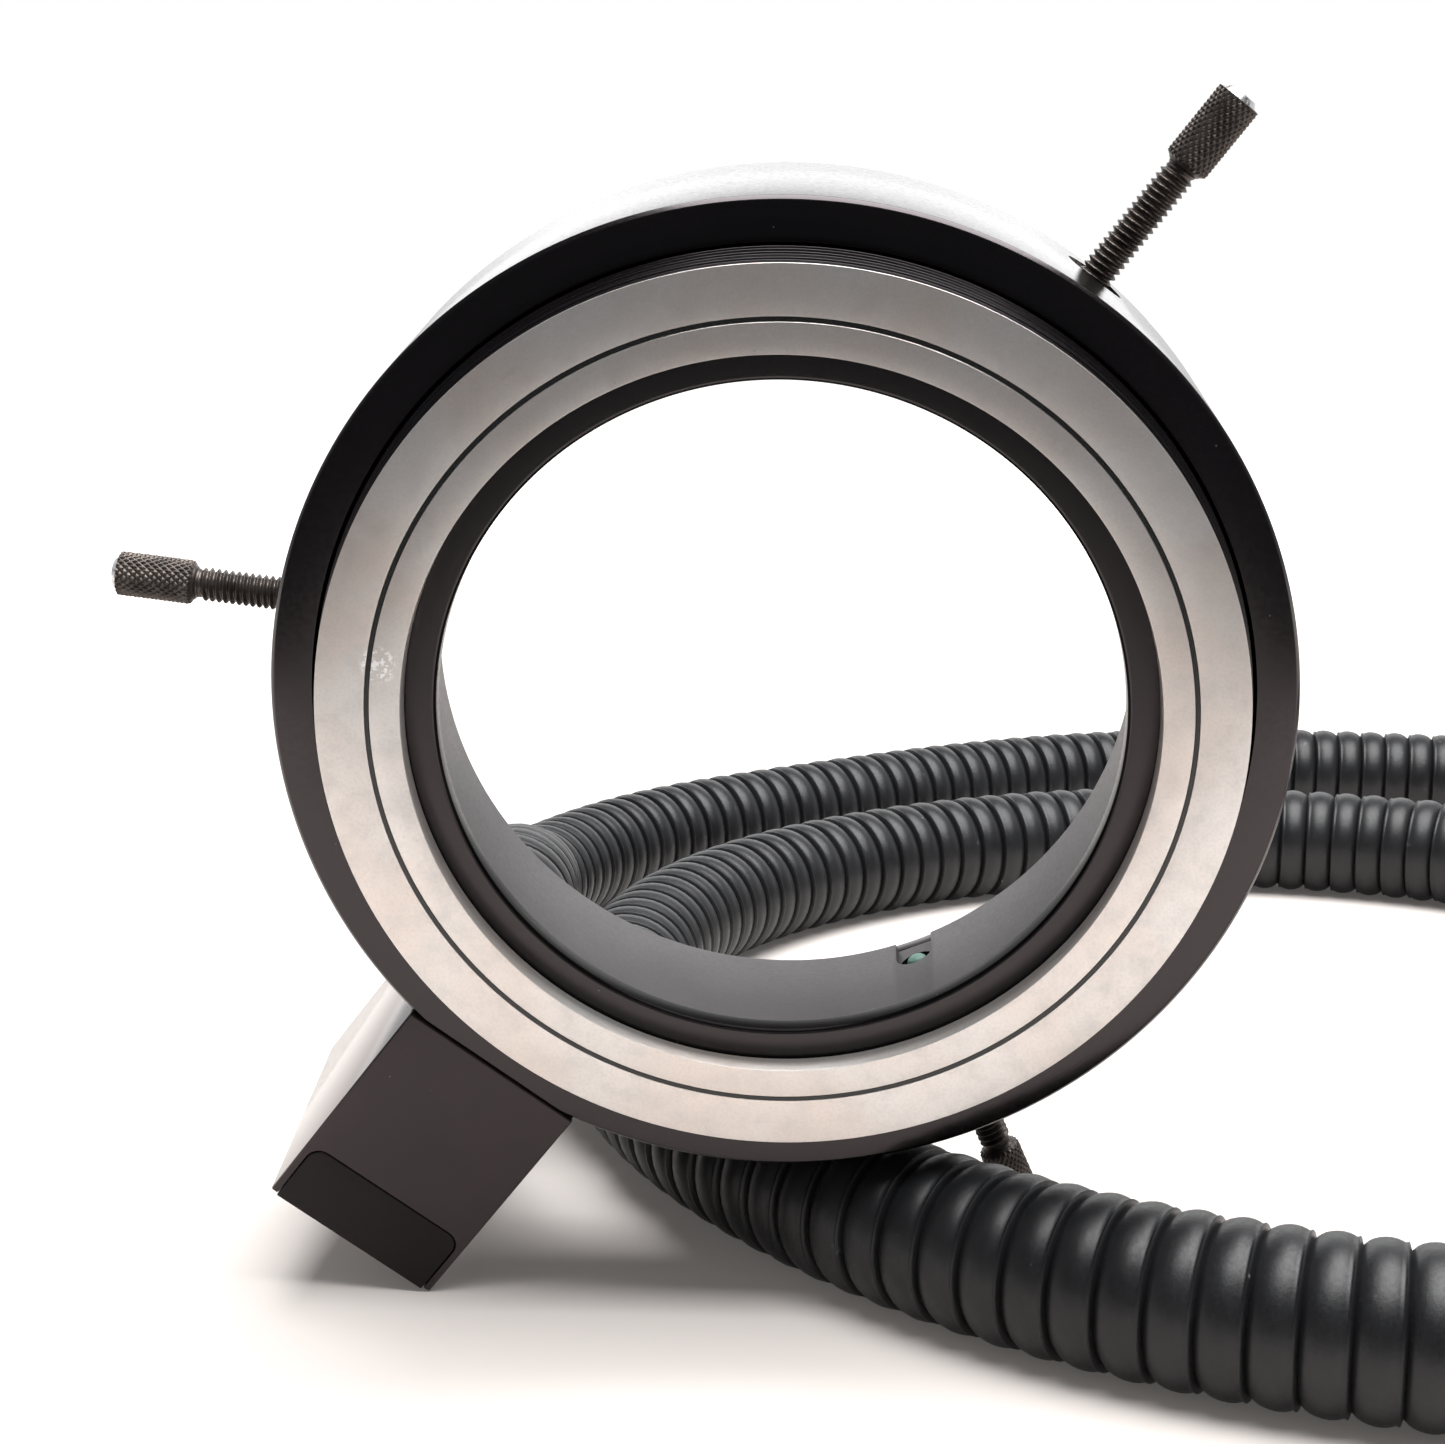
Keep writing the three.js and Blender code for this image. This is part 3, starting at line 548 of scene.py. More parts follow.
def specks(tree, vector, scale, size, limit=0.72):
    """Sparse small dots, 1 on a dot and 0 elsewhere."""
    dots = node(tree, "ShaderNodeTexVoronoi", {"Vector": vector, "Scale": scale})
    inputs = {"Value": dots.outputs["Distance"], "From Min": size, "From Max": size * 0.4}
    near = node(tree, "ShaderNodeMapRange", inputs).outputs["Result"]
    pick = node(tree, "ShaderNodeSeparateColor", {"Color": dots.outputs["Color"]}).outputs[0]
    return sums(tree, "MULTIPLY", near, sums(tree, "GREATER_THAN", pick, limit))


def shown_rays(tree):
    """Whether a ray shows what it meets, or only lights it, and whether it is a glossy ray."""
    path = node(tree, "ShaderNodeLightPath").outputs
    seen = sums(tree, "MAXIMUM", path["Is Camera Ray"], path["Is Glossy Ray"])
    return sums(tree, "MAXIMUM", seen, path["Is Transmission Ray"]), path["Is Glossy Ray"]


class Finish:
    """One material: its tree, its shader, and places in the head's frame in millimetres."""

    def __init__(self, name, **inputs):
        self.material = bpy.data.materials.new(name)
        self.material.use_nodes = True
        self.tree = self.material.node_tree
        self.shader = self.tree.nodes["Principled BSDF"]
        self.set(**inputs)
        coords = node(self.tree, "ShaderNodeTexCoord").outputs["Object"]
        turn = HEAD_TURN.inverted()
        shift = -(turn @ Vector(HEAD_PLACE))
        self.mm = node(self.tree, "ShaderNodeMapping", {
            "Vector": coords, "Location": shift, "Scale": (1 / MM,) * 3,
            "Rotation": (-math.radians(90 + LEAN), 0, 0),
        }).outputs[0]

    def set(self, **inputs):
        for key, value in inputs.items():
            socket = self.shader.inputs[key.replace("_", " ")]
            if isinstance(value, bpy.types.NodeSocket):
                self.tree.links.new(value, socket)
            elif isinstance(value, tuple) and len(value) == 3 and len(socket.default_value) == 4:
                socket.default_value = (*value, 1)
            else:
                socket.default_value = value

    def round_axis(self):
        """Radius and height in the head's frame."""
        parts = node(self.tree, "ShaderNodeSeparateXYZ", {0: self.mm}).outputs
        squares = [sums(self.tree, "MULTIPLY", part, part) for part in parts[:2]]
        radius = sums(self.tree, "SQRT", sums(self.tree, "ADD", *squares))
        return radius, parts[2]


# Finishes

def anodised(name, colour=ANODISED, roughness=0.19, lines=None, depth=0.002, shine=0.55):
    """Black anodised aluminium, with fine turned lines along the radius or the height."""
    finish = Finish(name, Specular_IOR_Level=shine, Specular_Tint=ANODISED_SHINE)
    tree = finish.tree
    rough = cloud(tree, finish.mm, scale=2.2, detail=4)
    broad = cloud(tree, finish.mm, scale=0.12, detail=2)
    lighter = tuple(c * 1.35 for c in colour)
    base = blend_colour(tree, spread(tree, broad, 0.35, 0.65), colour, lighter)
    dots = sums(tree, "MULTIPLY", specks(tree, finish.mm, scale=0.55, size=0.045), 0.5)
    finish.set(Base_Color=blend_colour(tree, dots, base, DUST),
               Roughness=spread(tree, rough, 0.3, 0.7, roughness - 0.02, roughness + 0.03))
    bump = raised(tree, cloud(tree, finish.mm, scale=9, detail=2), 0.0008)
    if lines:
        radius, height = finish.round_axis()
        along = radius if lines == "radius" else height
        bump = raised(tree, streaks(tree, along, scale=6.0, detail=4), depth, normal=bump)
    finish.set(Normal=bump)
    return finish.material


def ground_metal(name):
    """Bare metal, ground flat: finely mottled, with grinding lines, stains and flakes of wear painted
    white as glints.
    """
    finish = Finish(name, Metallic=0.75)
    tree = finish.tree
    broad = cloud(tree, finish.mm, scale=0.07, detail=3)
    blot = cloud(tree, finish.mm, scale=0.35, detail=6, roughness=0.7)
    fine = cloud(tree, finish.mm, scale=3.5, detail=5, roughness=0.65)
    base = blend_colour(tree, spread(tree, broad, 0.35, 0.65), METAL_WARM, METAL_COOL)
    base = blend_colour(tree, spread(tree, blot, 0.42, 0.72, 0, 0.5), base, METAL_STAIN)
    base = blend_colour(tree, spread(tree, fine, 0.4, 0.7, 0, 0.3), base, METAL_GRAIN)
    stretched = node(tree, "ShaderNodeMapping", {
        "Vector": finish.mm, "Scale": (0.6, 9, 1), "Rotation": (0, 0, 0.5),
    }).outputs[0]
    ground = cloud(tree, stretched, scale=1.5, detail=3)
    # Flakes of wear near one spot, painted pure white: a painted glint
    near = spread(tree, apart(tree, finish.mm, WORN_GLINT_PATCH), *WORN_GLINT_FADE)
    flakes = cloud(tree, finish.mm, scale=1.6, detail=4, roughness=0.7)
    worn_glint = sums(tree, "MULTIPLY", near, spread(tree, flakes, 0.52, 0.54))
    finish.set(Base_Color=blend_colour(tree, worn_glint, base, WHITE))
    rough = spread(tree, blot, 0.3, 0.7, 0.27, 0.35)
    finish.set(Roughness=sums(tree, "ADD", rough, spread(tree, fine, 0.35, 0.7, 0, 0.08)))
    finish.set(Normal=raised(tree, ground, 0.0022, normal=raised(tree, fine, 0.003)))
    return finish.material


def fibre_line(name):
    """Polished fibre ends in dark resin."""
    finish = Finish(name, Roughness=0.25)
    tree = finish.tree
    ends = node(tree, "ShaderNodeTexVoronoi", {"Vector": finish.mm, "Scale": 14}).outputs["Distance"]
    finish.set(Base_Color=blend_colour(tree, spread(tree, ends, 0.2, 0.4), FIBRE_GLINT, FIBRE_RESIN))
    return finish.material


def black_oxide(name):
    """Steel with a black oxide finish, brown-black, lighter in broad patches."""
    finish = Finish(name, Metallic=0.75)
    tree = finish.tree
    broad = cloud(tree, finish.mm, scale=0.5, detail=3)
    fine = cloud(tree, finish.mm, scale=5, detail=4)
    base = blend_colour(tree, spread(tree, broad, 0.35, 0.65), OXIDE_DARK, OXIDE_LIGHT)
    finish.set(Base_Color=base, Roughness=spread(tree, fine, 0.3, 0.7, 0.34, 0.48),
               Normal=raised(tree, fine, 0.004))
    return finish.material


def bright_steel(name):
    finish = Finish(name, Metallic=1.0)
    tree = finish.tree
    fine = cloud(tree, finish.mm, scale=3, detail=4)
    base = blend_colour(tree, spread(tree, fine, 0.3, 0.7), STEEL_DARK, STEEL_LIGHT)
    finish.set(Base_Color=base, Roughness=spread(tree, fine, 0.3, 0.7, 0.22, 0.34),
               Normal=raised(tree, fine, 0.003))
    return finish.material


def soft_plastic(name, colour):
    finish = Finish(name, Roughness=0.5)
    tree = finish.tree
    fine = cloud(tree, finish.mm, scale=3, detail=3)
    dark = tuple(c * 0.8 for c in colour)
    finish.set(Base_Color=blend_colour(tree, spread(tree, fine, 0.3, 0.7), dark, colour),
               Normal=raised(tree, fine, 0.01))
    return finish.material


def conduit_cover(name):
    """Matte black vinyl over a wound metal conduit, with dust and a few scuffs."""
    finish = Finish(name, Specular_IOR_Level=0.36)
    tree = finish.tree
    broad = cloud(tree, finish.mm, scale=0.12, detail=3)
    fine = cloud(tree, finish.mm, scale=2.5, detail=4, roughness=0.6)
    base = blend_colour(tree, spread(tree, broad, 0.3, 0.7), VINYL_DARK, VINYL_LIGHT)
    dust = sums(tree, "MULTIPLY", specks(tree, finish.mm, scale=0.22, size=0.06), 0.35)
    rubbed = cloud(tree, finish.mm, scale=0.35, detail=5, roughness=0.7)
    scuff = sums(tree, "MULTIPLY", spread(tree, rubbed, 0.66, 0.74), 0.12)
    base = blend_colour(tree, sums(tree, "MAXIMUM", dust, scuff), base, VINYL_DUST)
    finish.set(Base_Color=base, Roughness=spread(tree, fine, 0.3, 0.7, 0.37, 0.46),
               Normal=raised(tree, fine, 0.02))
    return finish.material


# Conduit

def route_controls():
    inlet = HEAD @ radial_frame(INLET)
    start = inlet @ Vector((0, HOSE_START, HOSE_RADIAL))
    away = (inlet.to_3x3() @ Vector((0, -1, 0))).normalized()
    points = [start + away * INLET_RUN * runs for runs in (-1, 0, 1, 2)]
    for x, y, *height in HOSE_ROUTE:
        points.append(Vector((x, y, *(height or [HOSE_R]))))
    onward = (points[-1] - points[-2]).normalized()
    last = points[-1]
    points += [last + onward * END_RUN * runs for runs in (1, 2)]
    return np.array([tuple(p) for p in points])


def spline_points(controls, steps):
    """Points of a smooth curve that runs near its controls, and dead straight between four in line."""
    spans = len(controls) - 3
    shares = np.linspace(0, spans, spans * steps + 1)
    first = np.minimum(np.floor(shares).astype(int), spans - 1)
    t = shares - first
    weights = [(1 - t) ** 3 / 6, (3 * t ** 3 - 6 * t ** 2 + 4) / 6,
               (-3 * t ** 3 + 3 * t ** 2 + 3 * t + 1) / 6, t ** 3 / 6]
    return sum(w[:, None] * controls[first + i] for i, w in enumerate(weights))


class Route:
    """The conduit's middle line, by distance from its fitting, in millimetres."""

    def __init__(self):
        self.points = spline_points(route_controls(), ROUTE_STEPS)
        steps = np.linalg.norm(np.diff(self.points, axis=0), axis=1)
        self.at = np.concatenate([[0], np.cumsum(steps)])
        self.length = self.at[-1]

    def middle(self, distances):
        parts = [np.interp(distances, self.at, self.points[:, i]) for i in range(3)]
        return np.stack(parts, axis=1)

    def frames(self, distances):
        """Points of the line, its directions there, and the ways to the side and up."""
        inside = np.clip(distances, 0, self.length)
        ahead = np.clip(inside + AIM, 0, self.length)
        behind = np.clip(inside - AIM, 0, self.length)
        along = self.middle(ahead) - self.middle(behind)
        along /= np.linalg.norm(along, axis=1)[:, None]
        points = self.middle(inside) + along * (distances - inside)[:, None]
        side = np.cross((0, 0, 1), along)
        side /= np.linalg.norm(side, axis=1)[:, None]
        return points, along, side, np.cross(along, side)

    def rings(self, distances, radii, sides=HOSE_SIDES):
        points, _, side, up = self.frames(distances)
        turns = (np.arange(sides) + 0.5) * 2 * np.pi / sides
        across, upward = np.cos(turns)[None, :, None], np.sin(turns)[None, :, None]
        circle = side[:, None] * across + up[:, None] * upward
        return (points[:, None] + circle * radii[:, None, None]).reshape(-1, 3)

    def end_frame(self):
        points, along, side, up = self.frames(np.array([self.length]))
        matrix = Matrix((side[0], up[0], along[0])).transposed().to_4x4()
        matrix.translation = Vector(points[0])
        return matrix


def make_conduit(route, finishes):
    count = round(route.length / RIB_PITCH)
    pitch = route.length / count
    ribs = [((i + share) * pitch, HOSE_R - depth) for i in range(count) for share, depth in RIB]
    ribs.append((route.length, HOSE_R - RIB[0][1]))
    inner = np.linspace(route.length, 0, count // 2)
    distances = np.concatenate([[distance for distance, _ in ribs], inner])
    radii = np.concatenate([[radius for _, radius in ribs], np.full(len(inner), HOSE_BORE_R)])
    points = route.rings(distances, radii)
    faces = grid_faces(len(distances), HOSE_SIDES, closed=True)
    piece = new_piece("conduit", points, faces)
    settle(piece, Matrix.Identity(4), ["hose"], [finishes["cover"]], crease=70)
    path = [Vector(p) * MM for p in route.points[::PATH_EVERY]]
    return piece, path


# Head

def notch_outline(steps=24):
    """Round at the screw and open to the rear edge, drawn with the way to the rear upwards."""
    half = NOTCH_WIDTH / 2
    rear = PAST - SCREW_SETBACK - LAND_Z
    turns = [math.pi + math.pi * k / steps for k in range(steps + 1)]
    arc = [(half * math.cos(turn), half * math.sin(turn)) for turn in turns]
    return [(-half, rear), *arc, (half, rear)]


def body_cutters():
    """The screws' holes, spot faces and notches, and the flat for the inlet block."""
    cutters = []
    spot_floor = BODY_R - SPOT_DEPTH
    spot_outline = [(0, spot_floor), (SPOT_R - SPOT_FLARE, spot_floor),
                    (SPOT_R + SPOT_FLARE, BODY_R + PAST), (0, BODY_R + PAST)]
    for degrees, _ in SCREWS:
        at = radial_frame(degrees, SCREW_SETBACK)
        hole = rod("hole", THREAD_R + THREAD_CLEARANCE, BORE_R - 2 * PAST, BODY_R + 2 * PAST)
        spot = turned("spot", spot_outline, sides=64)
        notch = plate("notch", notch_outline(), BORE_R - 2 * PAST, BORE_R + NOTCH_DEPTH)
        place(notch, AGAINST_LIGHT)
        cutters += [place(cutter, at) for cutter in (hole, spot, notch)]
    half = BODY_R / 2
    flat = slab("flat", (-half, REAR_Z - PAST, FLAT_R), (half, ANNULUS_Z + PAST, BODY_R + PAST))
    cutters.append(place(flat, radial_frame(INLET)))
    return cutters


def body_zone(centre, normal):
    """Faces of the ring body by place: 1 on the outer wall, 2 in the bore, 0 elsewhere."""
    radius = math.hypot(centre.x, centre.y)
    if radius < BORE_R + NOTCH_DEPTH + 0.1 and centre.z < ANNULUS_Z - 2:
        return 2
    if radius > BODY_R - 0.2 and abs(normal.z) < 0.5:
        return 1
    return 0


def face_zone(centre, normal):
    """Faces of the outer face ring: 0 on the ground face and in the slot, 1 on the black steps."""
    bare = centre.z > -BARE_DEPTH or math.hypot(centre.x, centre.y) < BARE_R
    return 0 if bare else 1


def lip_zone(centre, normal):
    """Faces of the lip ring: 1 on the side towards the axis, 0 elsewhere."""
    return 1 if math.hypot(centre.x, centre.y) < LIP_R + 0.2 else 0


def make_body(finishes):
    outline = [
        (BORE_R, LAND_Z), (COVER_RIM_R, LAND_Z), (COVER_RIM_R, REAR_Z), (BODY_R, REAR_Z),
        (BODY_R, ANNULUS_Z - EDGE_BEVEL), (BODY_R - EDGE_BEVEL, ANNULUS_Z),
        (FACE_BASE_R + SEAT_GAP, ANNULUS_Z), (FACE_BASE_R + SEAT_GAP, LEDGE_Z),
        (THROAT_R, LEDGE_Z), (THROAT_R, CHANNEL_TOP_Z), (CHANNEL_R, CHANNEL_TOP_Z),
        (CHANNEL_R, CHANNEL_FLOOR_Z), (WALL_R, CHANNEL_FLOOR_Z), (WALL_R, BORE_FRONT_Z),
        (BORE_R, BORE_FRONT_Z),
    ]
    body = cut(turned("ring_housing", outline, rounding=0.1), body_cutters())
    settle(body, HEAD, ["ring_body"],
           [finishes["annulus"], finishes["outer_wall"], finishes["bore"]], zone=body_zone)


def make_faces(finishes):
    """The two ground face rings, with a stepped wall round the outer one."""
    step = (FACE_BASE_R - FACE_OUTER_R) / FACE_STEPS
    outline = []
    for i in range(FACE_STEPS):
        radius = FACE_OUTER_R + i * step
        outline += [(radius, ANNULUS_Z * i / FACE_STEPS), (radius, ANNULUS_Z * (i + 1) / FACE_STEPS)]
    back = LEDGE_Z + SEAT_GAP
    outline += [(FACE_BASE_R, ANNULUS_Z), (FACE_BASE_R, back), (THROAT_R - SEAT_GAP, back),
                (SLOT_OUTER_R, SLOT_DEEP_Z), (SLOT_OUTER_R, 0)]
    outer = turned("outer_face", outline, rounding=0.06)
    settle(outer, HEAD, ["outer_face_ring"], [finishes["ground"], finishes["step"]],
           zone=face_zone)

    wall = WALL_R + SEAT_GAP
    outline = [(SLOT_INNER_R, 0), (FACE_INNER_R, 0), (FACE_INNER_R, FACE_BACK_Z), (wall, FACE_BACK_Z),
               (wall, back), (SLOT_INNER_R, back)]
    inner = turned("inner_face", outline, rounding=0.06)
    settle(inner, HEAD, ["inner_face_ring"], [finishes["ground"]])


def make_fibres(finishes):
    """The potted fibres, from the channel up to the thin line of their ends."""
    inner, outer = SLOT_INNER_R + FIBRE_GAP, SLOT_OUTER_R - FIBRE_GAP
    wall = WALL_R + SEAT_GAP
    fan = CHANNEL_R - SEAT_GAP
    floor = CHANNEL_FLOOR_Z + SEAT_GAP
    ceiling = CHANNEL_TOP_Z - SEAT_GAP
    outline = [(outer, -FIBRE_SINK), (inner, -FIBRE_SINK), (inner, LEDGE_Z), (wall, LEDGE_Z),
               (wall, floor), (fan, floor), (fan, ceiling), (FIBRE_NECK_R, ceiling),
               (FIBRE_BEND_R, LEDGE_Z + SEAT_GAP), (outer, FIBRE_DEEP_Z)]
    fibres = turned("fibre_ends", outline)
    settle(fibres, HEAD, ["fibre_ring"], [finishes["fibres"]])


def make_lip(finishes):
    outline = [(WALL_R, LIP_FRONT_Z), (LIP_R + LIP_BEVEL, LIP_FRONT_Z),
               (LIP_R, LIP_FRONT_Z - LIP_BEVEL), (LIP_R, LIP_REAR_Z), (LIP_SEAT_R, LIP_REAR_Z),
               (LIP_SEAT_R, LIP_REAR_Z + LIP_LAP), (WALL_R, LIP_REAR_Z + LIP_LAP)]
    lip = turned("bore_lip", outline, rounding=0.12)
    settle(lip, HEAD, ["bore_lip_ring"], [finishes["lip"], finishes["lip_bore"]],
           zone=lip_zone)


def cover_screw_frames():
    for i in range(COVER_SCREWS):
        turn = math.radians(COVER_SCREW_PHASE + 360 * (i + 0.5) / COVER_SCREWS)
        yield Matrix.Rotation(turn, 4, "Z") @ Matrix.Translation((COVER_SCREW_R, 0, REAR_Z))


def make_rear(finishes):
    """The cover over the channel, with its countersunk socket screws."""
    outer, front = COVER_RIM_R - SEAT_GAP, REAR_Z + COVER_THICKNESS
    outline = [(COVER_INNER_R, REAR_Z), (outer, REAR_Z), (outer, front), (COVER_INNER_R, front)]
    cover = turned("rear_plate", outline, rounding=0.12)
    sink_outline = [(0, -PAST), (SINK_R, -PAST), (SINK_R, 0), (SINK_HOLE_R, SINK_DEPTH),
                    (SINK_HOLE_R, SINK_HOLE_DEPTH), (0, SINK_HOLE_DEPTH)]
    sinks = [place(turned("sink", sink_outline, sides=48), at) for at in cover_screw_frames()]
    settle(cut(cover, sinks), HEAD, ["rear_cover"], [finishes["rear"]])

    outline = [(0, REAR_SCREW_SINK), (REAR_HEAD_R, REAR_SCREW_SINK), (REAR_SHANK_R, REAR_HEAD_DEPTH),
               (REAR_SHANK_R, REAR_SHANK_LENGTH), (0, REAR_SHANK_LENGTH)]
    for i, at in enumerate(cover_screw_frames(), 1):
        screw = turned("screw", outline, sides=48, rounding=0.08)
        cut(screw, [rod("socket", REAR_SOCKET_R, -PAST, REAR_SOCKET_DEPTH, sides=6)])
        screw.name = f"rear_plate_screw_{i}"
        settle(screw, HEAD @ at, [f"rear_cover_screw_{i}"], [finishes["oxide"]])


# Thumb screws

def thread_radius(turns, height):
    """A right-hand V thread with flat crests and roots."""
    share = (height / THREAD_PITCH - turns) % 1.0
    wave = np.clip(np.abs(share - 0.5) * 2 * THREAD_FLANK - THREAD_CREST, 0, 1)
    return THREAD_R - THREAD_DEPTH * wave


def knurl_radius(turns, height):
    """Two crossed families of grooves that leave pointed diamonds, longer along the screw."""
    families = []
    for sign in (1, -1):
        share = (KNURL_COUNT * turns + sign * height / KNURL_PITCH) % 1.0
        families.append(np.abs(share - 0.5) * 2)
    wave = np.clip(np.maximum(*families) * KNURL_FLANK - KNURL_CREST, 0, 1)
    return KNOB_R - KNURL_DEPTH * wave


def screw_rings(turns):
    """Heights and radii of a thumb screw, from its thread's free end to the top of its head."""
    top = THREAD_LENGTH + KNOB_LENGTH
    rings = [(THREAD_START, TIP_HOLE_R), (THREAD_START, THREAD_END_R)]
    neck = THREAD_LENGTH - NECK_LENGTH
    core = THREAD_R - THREAD_DEPTH
    for height in np.arange(THREAD_START, neck, THREAD_PITCH / THREAD_STEPS):
        lead_in = (height - THREAD_START) / THREAD_LEAD_IN
        lead = max(0, min(1, lead_in, (neck - height) / THREAD_LEAD_OUT))
        rings.append((height, core + (thread_radius(turns, height) - core) * lead))
    rings += [(neck, NECK_R), (THREAD_LENGTH - NECK_FILLET, NECK_R),
              (THREAD_LENGTH, NECK_R + NECK_FILLET)]
    for radius in SHOULDER_RADII:
        rings.append((THREAD_LENGTH + (radius - NECK_R) * SHOULDER_SLOPE, radius))
    low, high = THREAD_LENGTH + KNURL_START, top - KNURL_END
    for height in np.arange(low, high, KNURL_PITCH / KNURL_STEPS):
        lead_out = (high - height) / KNURL_LEAD_OUT + KNURL_LAST
        rise = max(0, min(1, (height - low) / KNURL_LEAD_IN, lead_out))
        knurled = knurl_radius(turns, height)
        rings.append((height, KNURL_CORE_R + (knurled - KNURL_CORE_R) * rise))
    rings += [(top - under, radius) for under, radius in KNOB_END]
    return rings


def make_thumb_screw(index, degrees, stand, finishes):
    """One thumb screw and its soft tip. Its head stands so far from the ring's axis."""
    sides = 8 * KNURL_COUNT
    turns = np.arange(sides) / sides
    rings = screw_rings(turns)
    top = THREAD_LENGTH + KNOB_LENGTH
    points = []
    for height, radii in rings:
        for r, t in zip(np.broadcast_to(radii, sides), turns):
            points.append((r * math.cos(2 * math.pi * t), r * math.sin(2 * math.pi * t), height))
    faces = grid_faces(len(rings), sides, closed=False)
    last = (len(rings) - 1) * sides
    points += [(0, 0, THREAD_START), (0, 0, top - KNOB_DISH)]
    for j in range(sides):
        k = (j + 1) % sides
        faces.append((len(points) - 2, k, j))
        faces.append((len(points) - 1, last + j, last + k))
    screw = new_piece(f"knurled_screw_{index}", points, faces)
    out = Matrix.Translation((0, 0, stand - THREAD_LENGTH))
    at = HEAD @ radial_frame(degrees, SCREW_SETBACK) @ out
    settle(screw, at, [f"thumb_screw_{index}"],
           [finishes["oxide"], finishes["worn_oxide"]], body=f"thumb_screw_{index}",
           zone=lambda centre, normal: 1 if centre.z > top - KNURL_END else 0, crease=50)

    outline = [(0, -TIP_DOME), (0.4 * TIP_R, -0.85 * TIP_DOME), (0.75 * TIP_R, -0.45 * TIP_DOME),
               (TIP_R, TIP_EDGE), (TIP_R, TIP_THICKNESS), (TIP_STEM_R, TIP_THICKNESS),
               (TIP_STEM_R, TIP_STEM_END), (0, TIP_STEM_END)]
    tip = turned(f"soft_tip_{index}", outline, sides=48, rounding=0.1)
    settle(tip, at, [f"screw_tip_{index}"], [finishes["tip"]],
           body=f"screw_tip_{index}")


# Inlet block

def set_screw(name, low, high, socket_depth, rounding):
    screw = rod("set_screw", GRUB_R, low, high, rounding=rounding)
    cut(screw, [rod("socket", SOCKET_R, high - socket_depth, high + PAST, sides=6)])
    screw.name = name
    return screw


def plate_outline(half_width, inner, outer, corner, steps=8):
    """A plate open to the block's outer end, with its two inner corners rounded."""
    points = [(-half_width, outer)]
    for side, start in ((-1, math.pi), (1, 1.5 * math.pi)):
        middle = side * (half_width - corner)
        for k in range(steps + 1):
            angle = start + k / steps * math.pi / 2
            height = inner + corner + corner * math.sin(angle)
            points.append((middle + corner * math.cos(angle), height))
    points.append((half_width, outer))
    return points


def make_block(finishes):
    at = HEAD @ radial_frame(INLET)
    half = BLOCK_WIDTH / 2
    body = slab("inlet_housing", (-half, BLOCK_REAR, BLOCK_INNER), (half, ANNULUS_Z, BLOCK_OUTER),
                rounding=0.25)
    inner = BLOCK_OUTER - PLATE_LENGTH
    slot_half = half - PLATE_WALL
    slot = plate("slot", plate_outline(slot_half, inner, BLOCK_OUTER + PAST, PLATE_SLOT_CORNER),
                 ANNULUS_Z - PLATE_DEPTH - SEAT_GAP, ANNULUS_Z + PAST)
    to_hose = Matrix.Translation((0, 0, HOSE_RADIAL)) @ ALONG_LIGHT
    bore = rod("bore", FITTING_BORE_R, BLOCK_REAR - PAST, BLOCK_REAR + FITTING_BORE_DEPTH)
    place(bore, to_hose)
    grub = rod("grub", GRUB_R + SEAT_GAP, HOSE_RADIAL, BLOCK_OUTER + PAST)
    place(grub, Matrix.Translation((0, BLOCK_REAR + GRUB_SETBACK, 0)))
    cut(body, [slot, bore, grub])
    settle(body, at, ["inlet_block"], [finishes["block"], finishes["block_side"]],
           zone=lambda centre, normal: 1 if abs(normal.x) > 0.7 else 0)

    outline = plate_outline(slot_half - PLATE_GAP, inner + PLATE_GAP, BLOCK_OUTER + PLATE_PROUD,
                            PLATE_CORNER)
    cover = plate("inlet_plate", outline, ANNULUS_Z - PLATE_DEPTH, ANNULUS_Z + PLATE_LIFT,
                  rounding=0.15)
    settle(cover, at, ["inlet_cover"], [finishes["plate"]])

    front, rear = BLOCK_REAR + FITTING_DEPTH, HOSE_START - PLUG_LENGTH
    outline = [(BUNDLE_R, front), (BUNDLE_R, rear), (PLUG_R, rear), (PLUG_R, HOSE_START + SEAT_GAP),
               (FLANGE_R, HOSE_START + SEAT_GAP), (FLANGE_R, BLOCK_REAR - SEAT_GAP),
               (FITTING_R, BLOCK_REAR - SEAT_GAP), (FITTING_R, front)]
    fitting = turned("conduit_fitting", outline, sides=96, rounding=0.25)
    settle(fitting, at @ to_hose, ["hose_ferrule"], [finishes["steel"]])

    screw = set_screw("fitting_set_screw", 0, GRUB_LENGTH, socket_depth=1.5, rounding=0.15)
    seat = Matrix.Translation((0, BLOCK_REAR + GRUB_SETBACK, HOSE_RADIAL + FITTING_R + SEAT_GAP))
    settle(screw, at @ seat, ["ferrule_set_screw"], [finishes["oxide"]])


# Far end

def groove(radius, bottom, low, high, slope):
    """Four points of a turned groove with sloping sides."""
    return [(radius, low), (bottom, low + slope), (bottom, high - slope), (radius, high)]


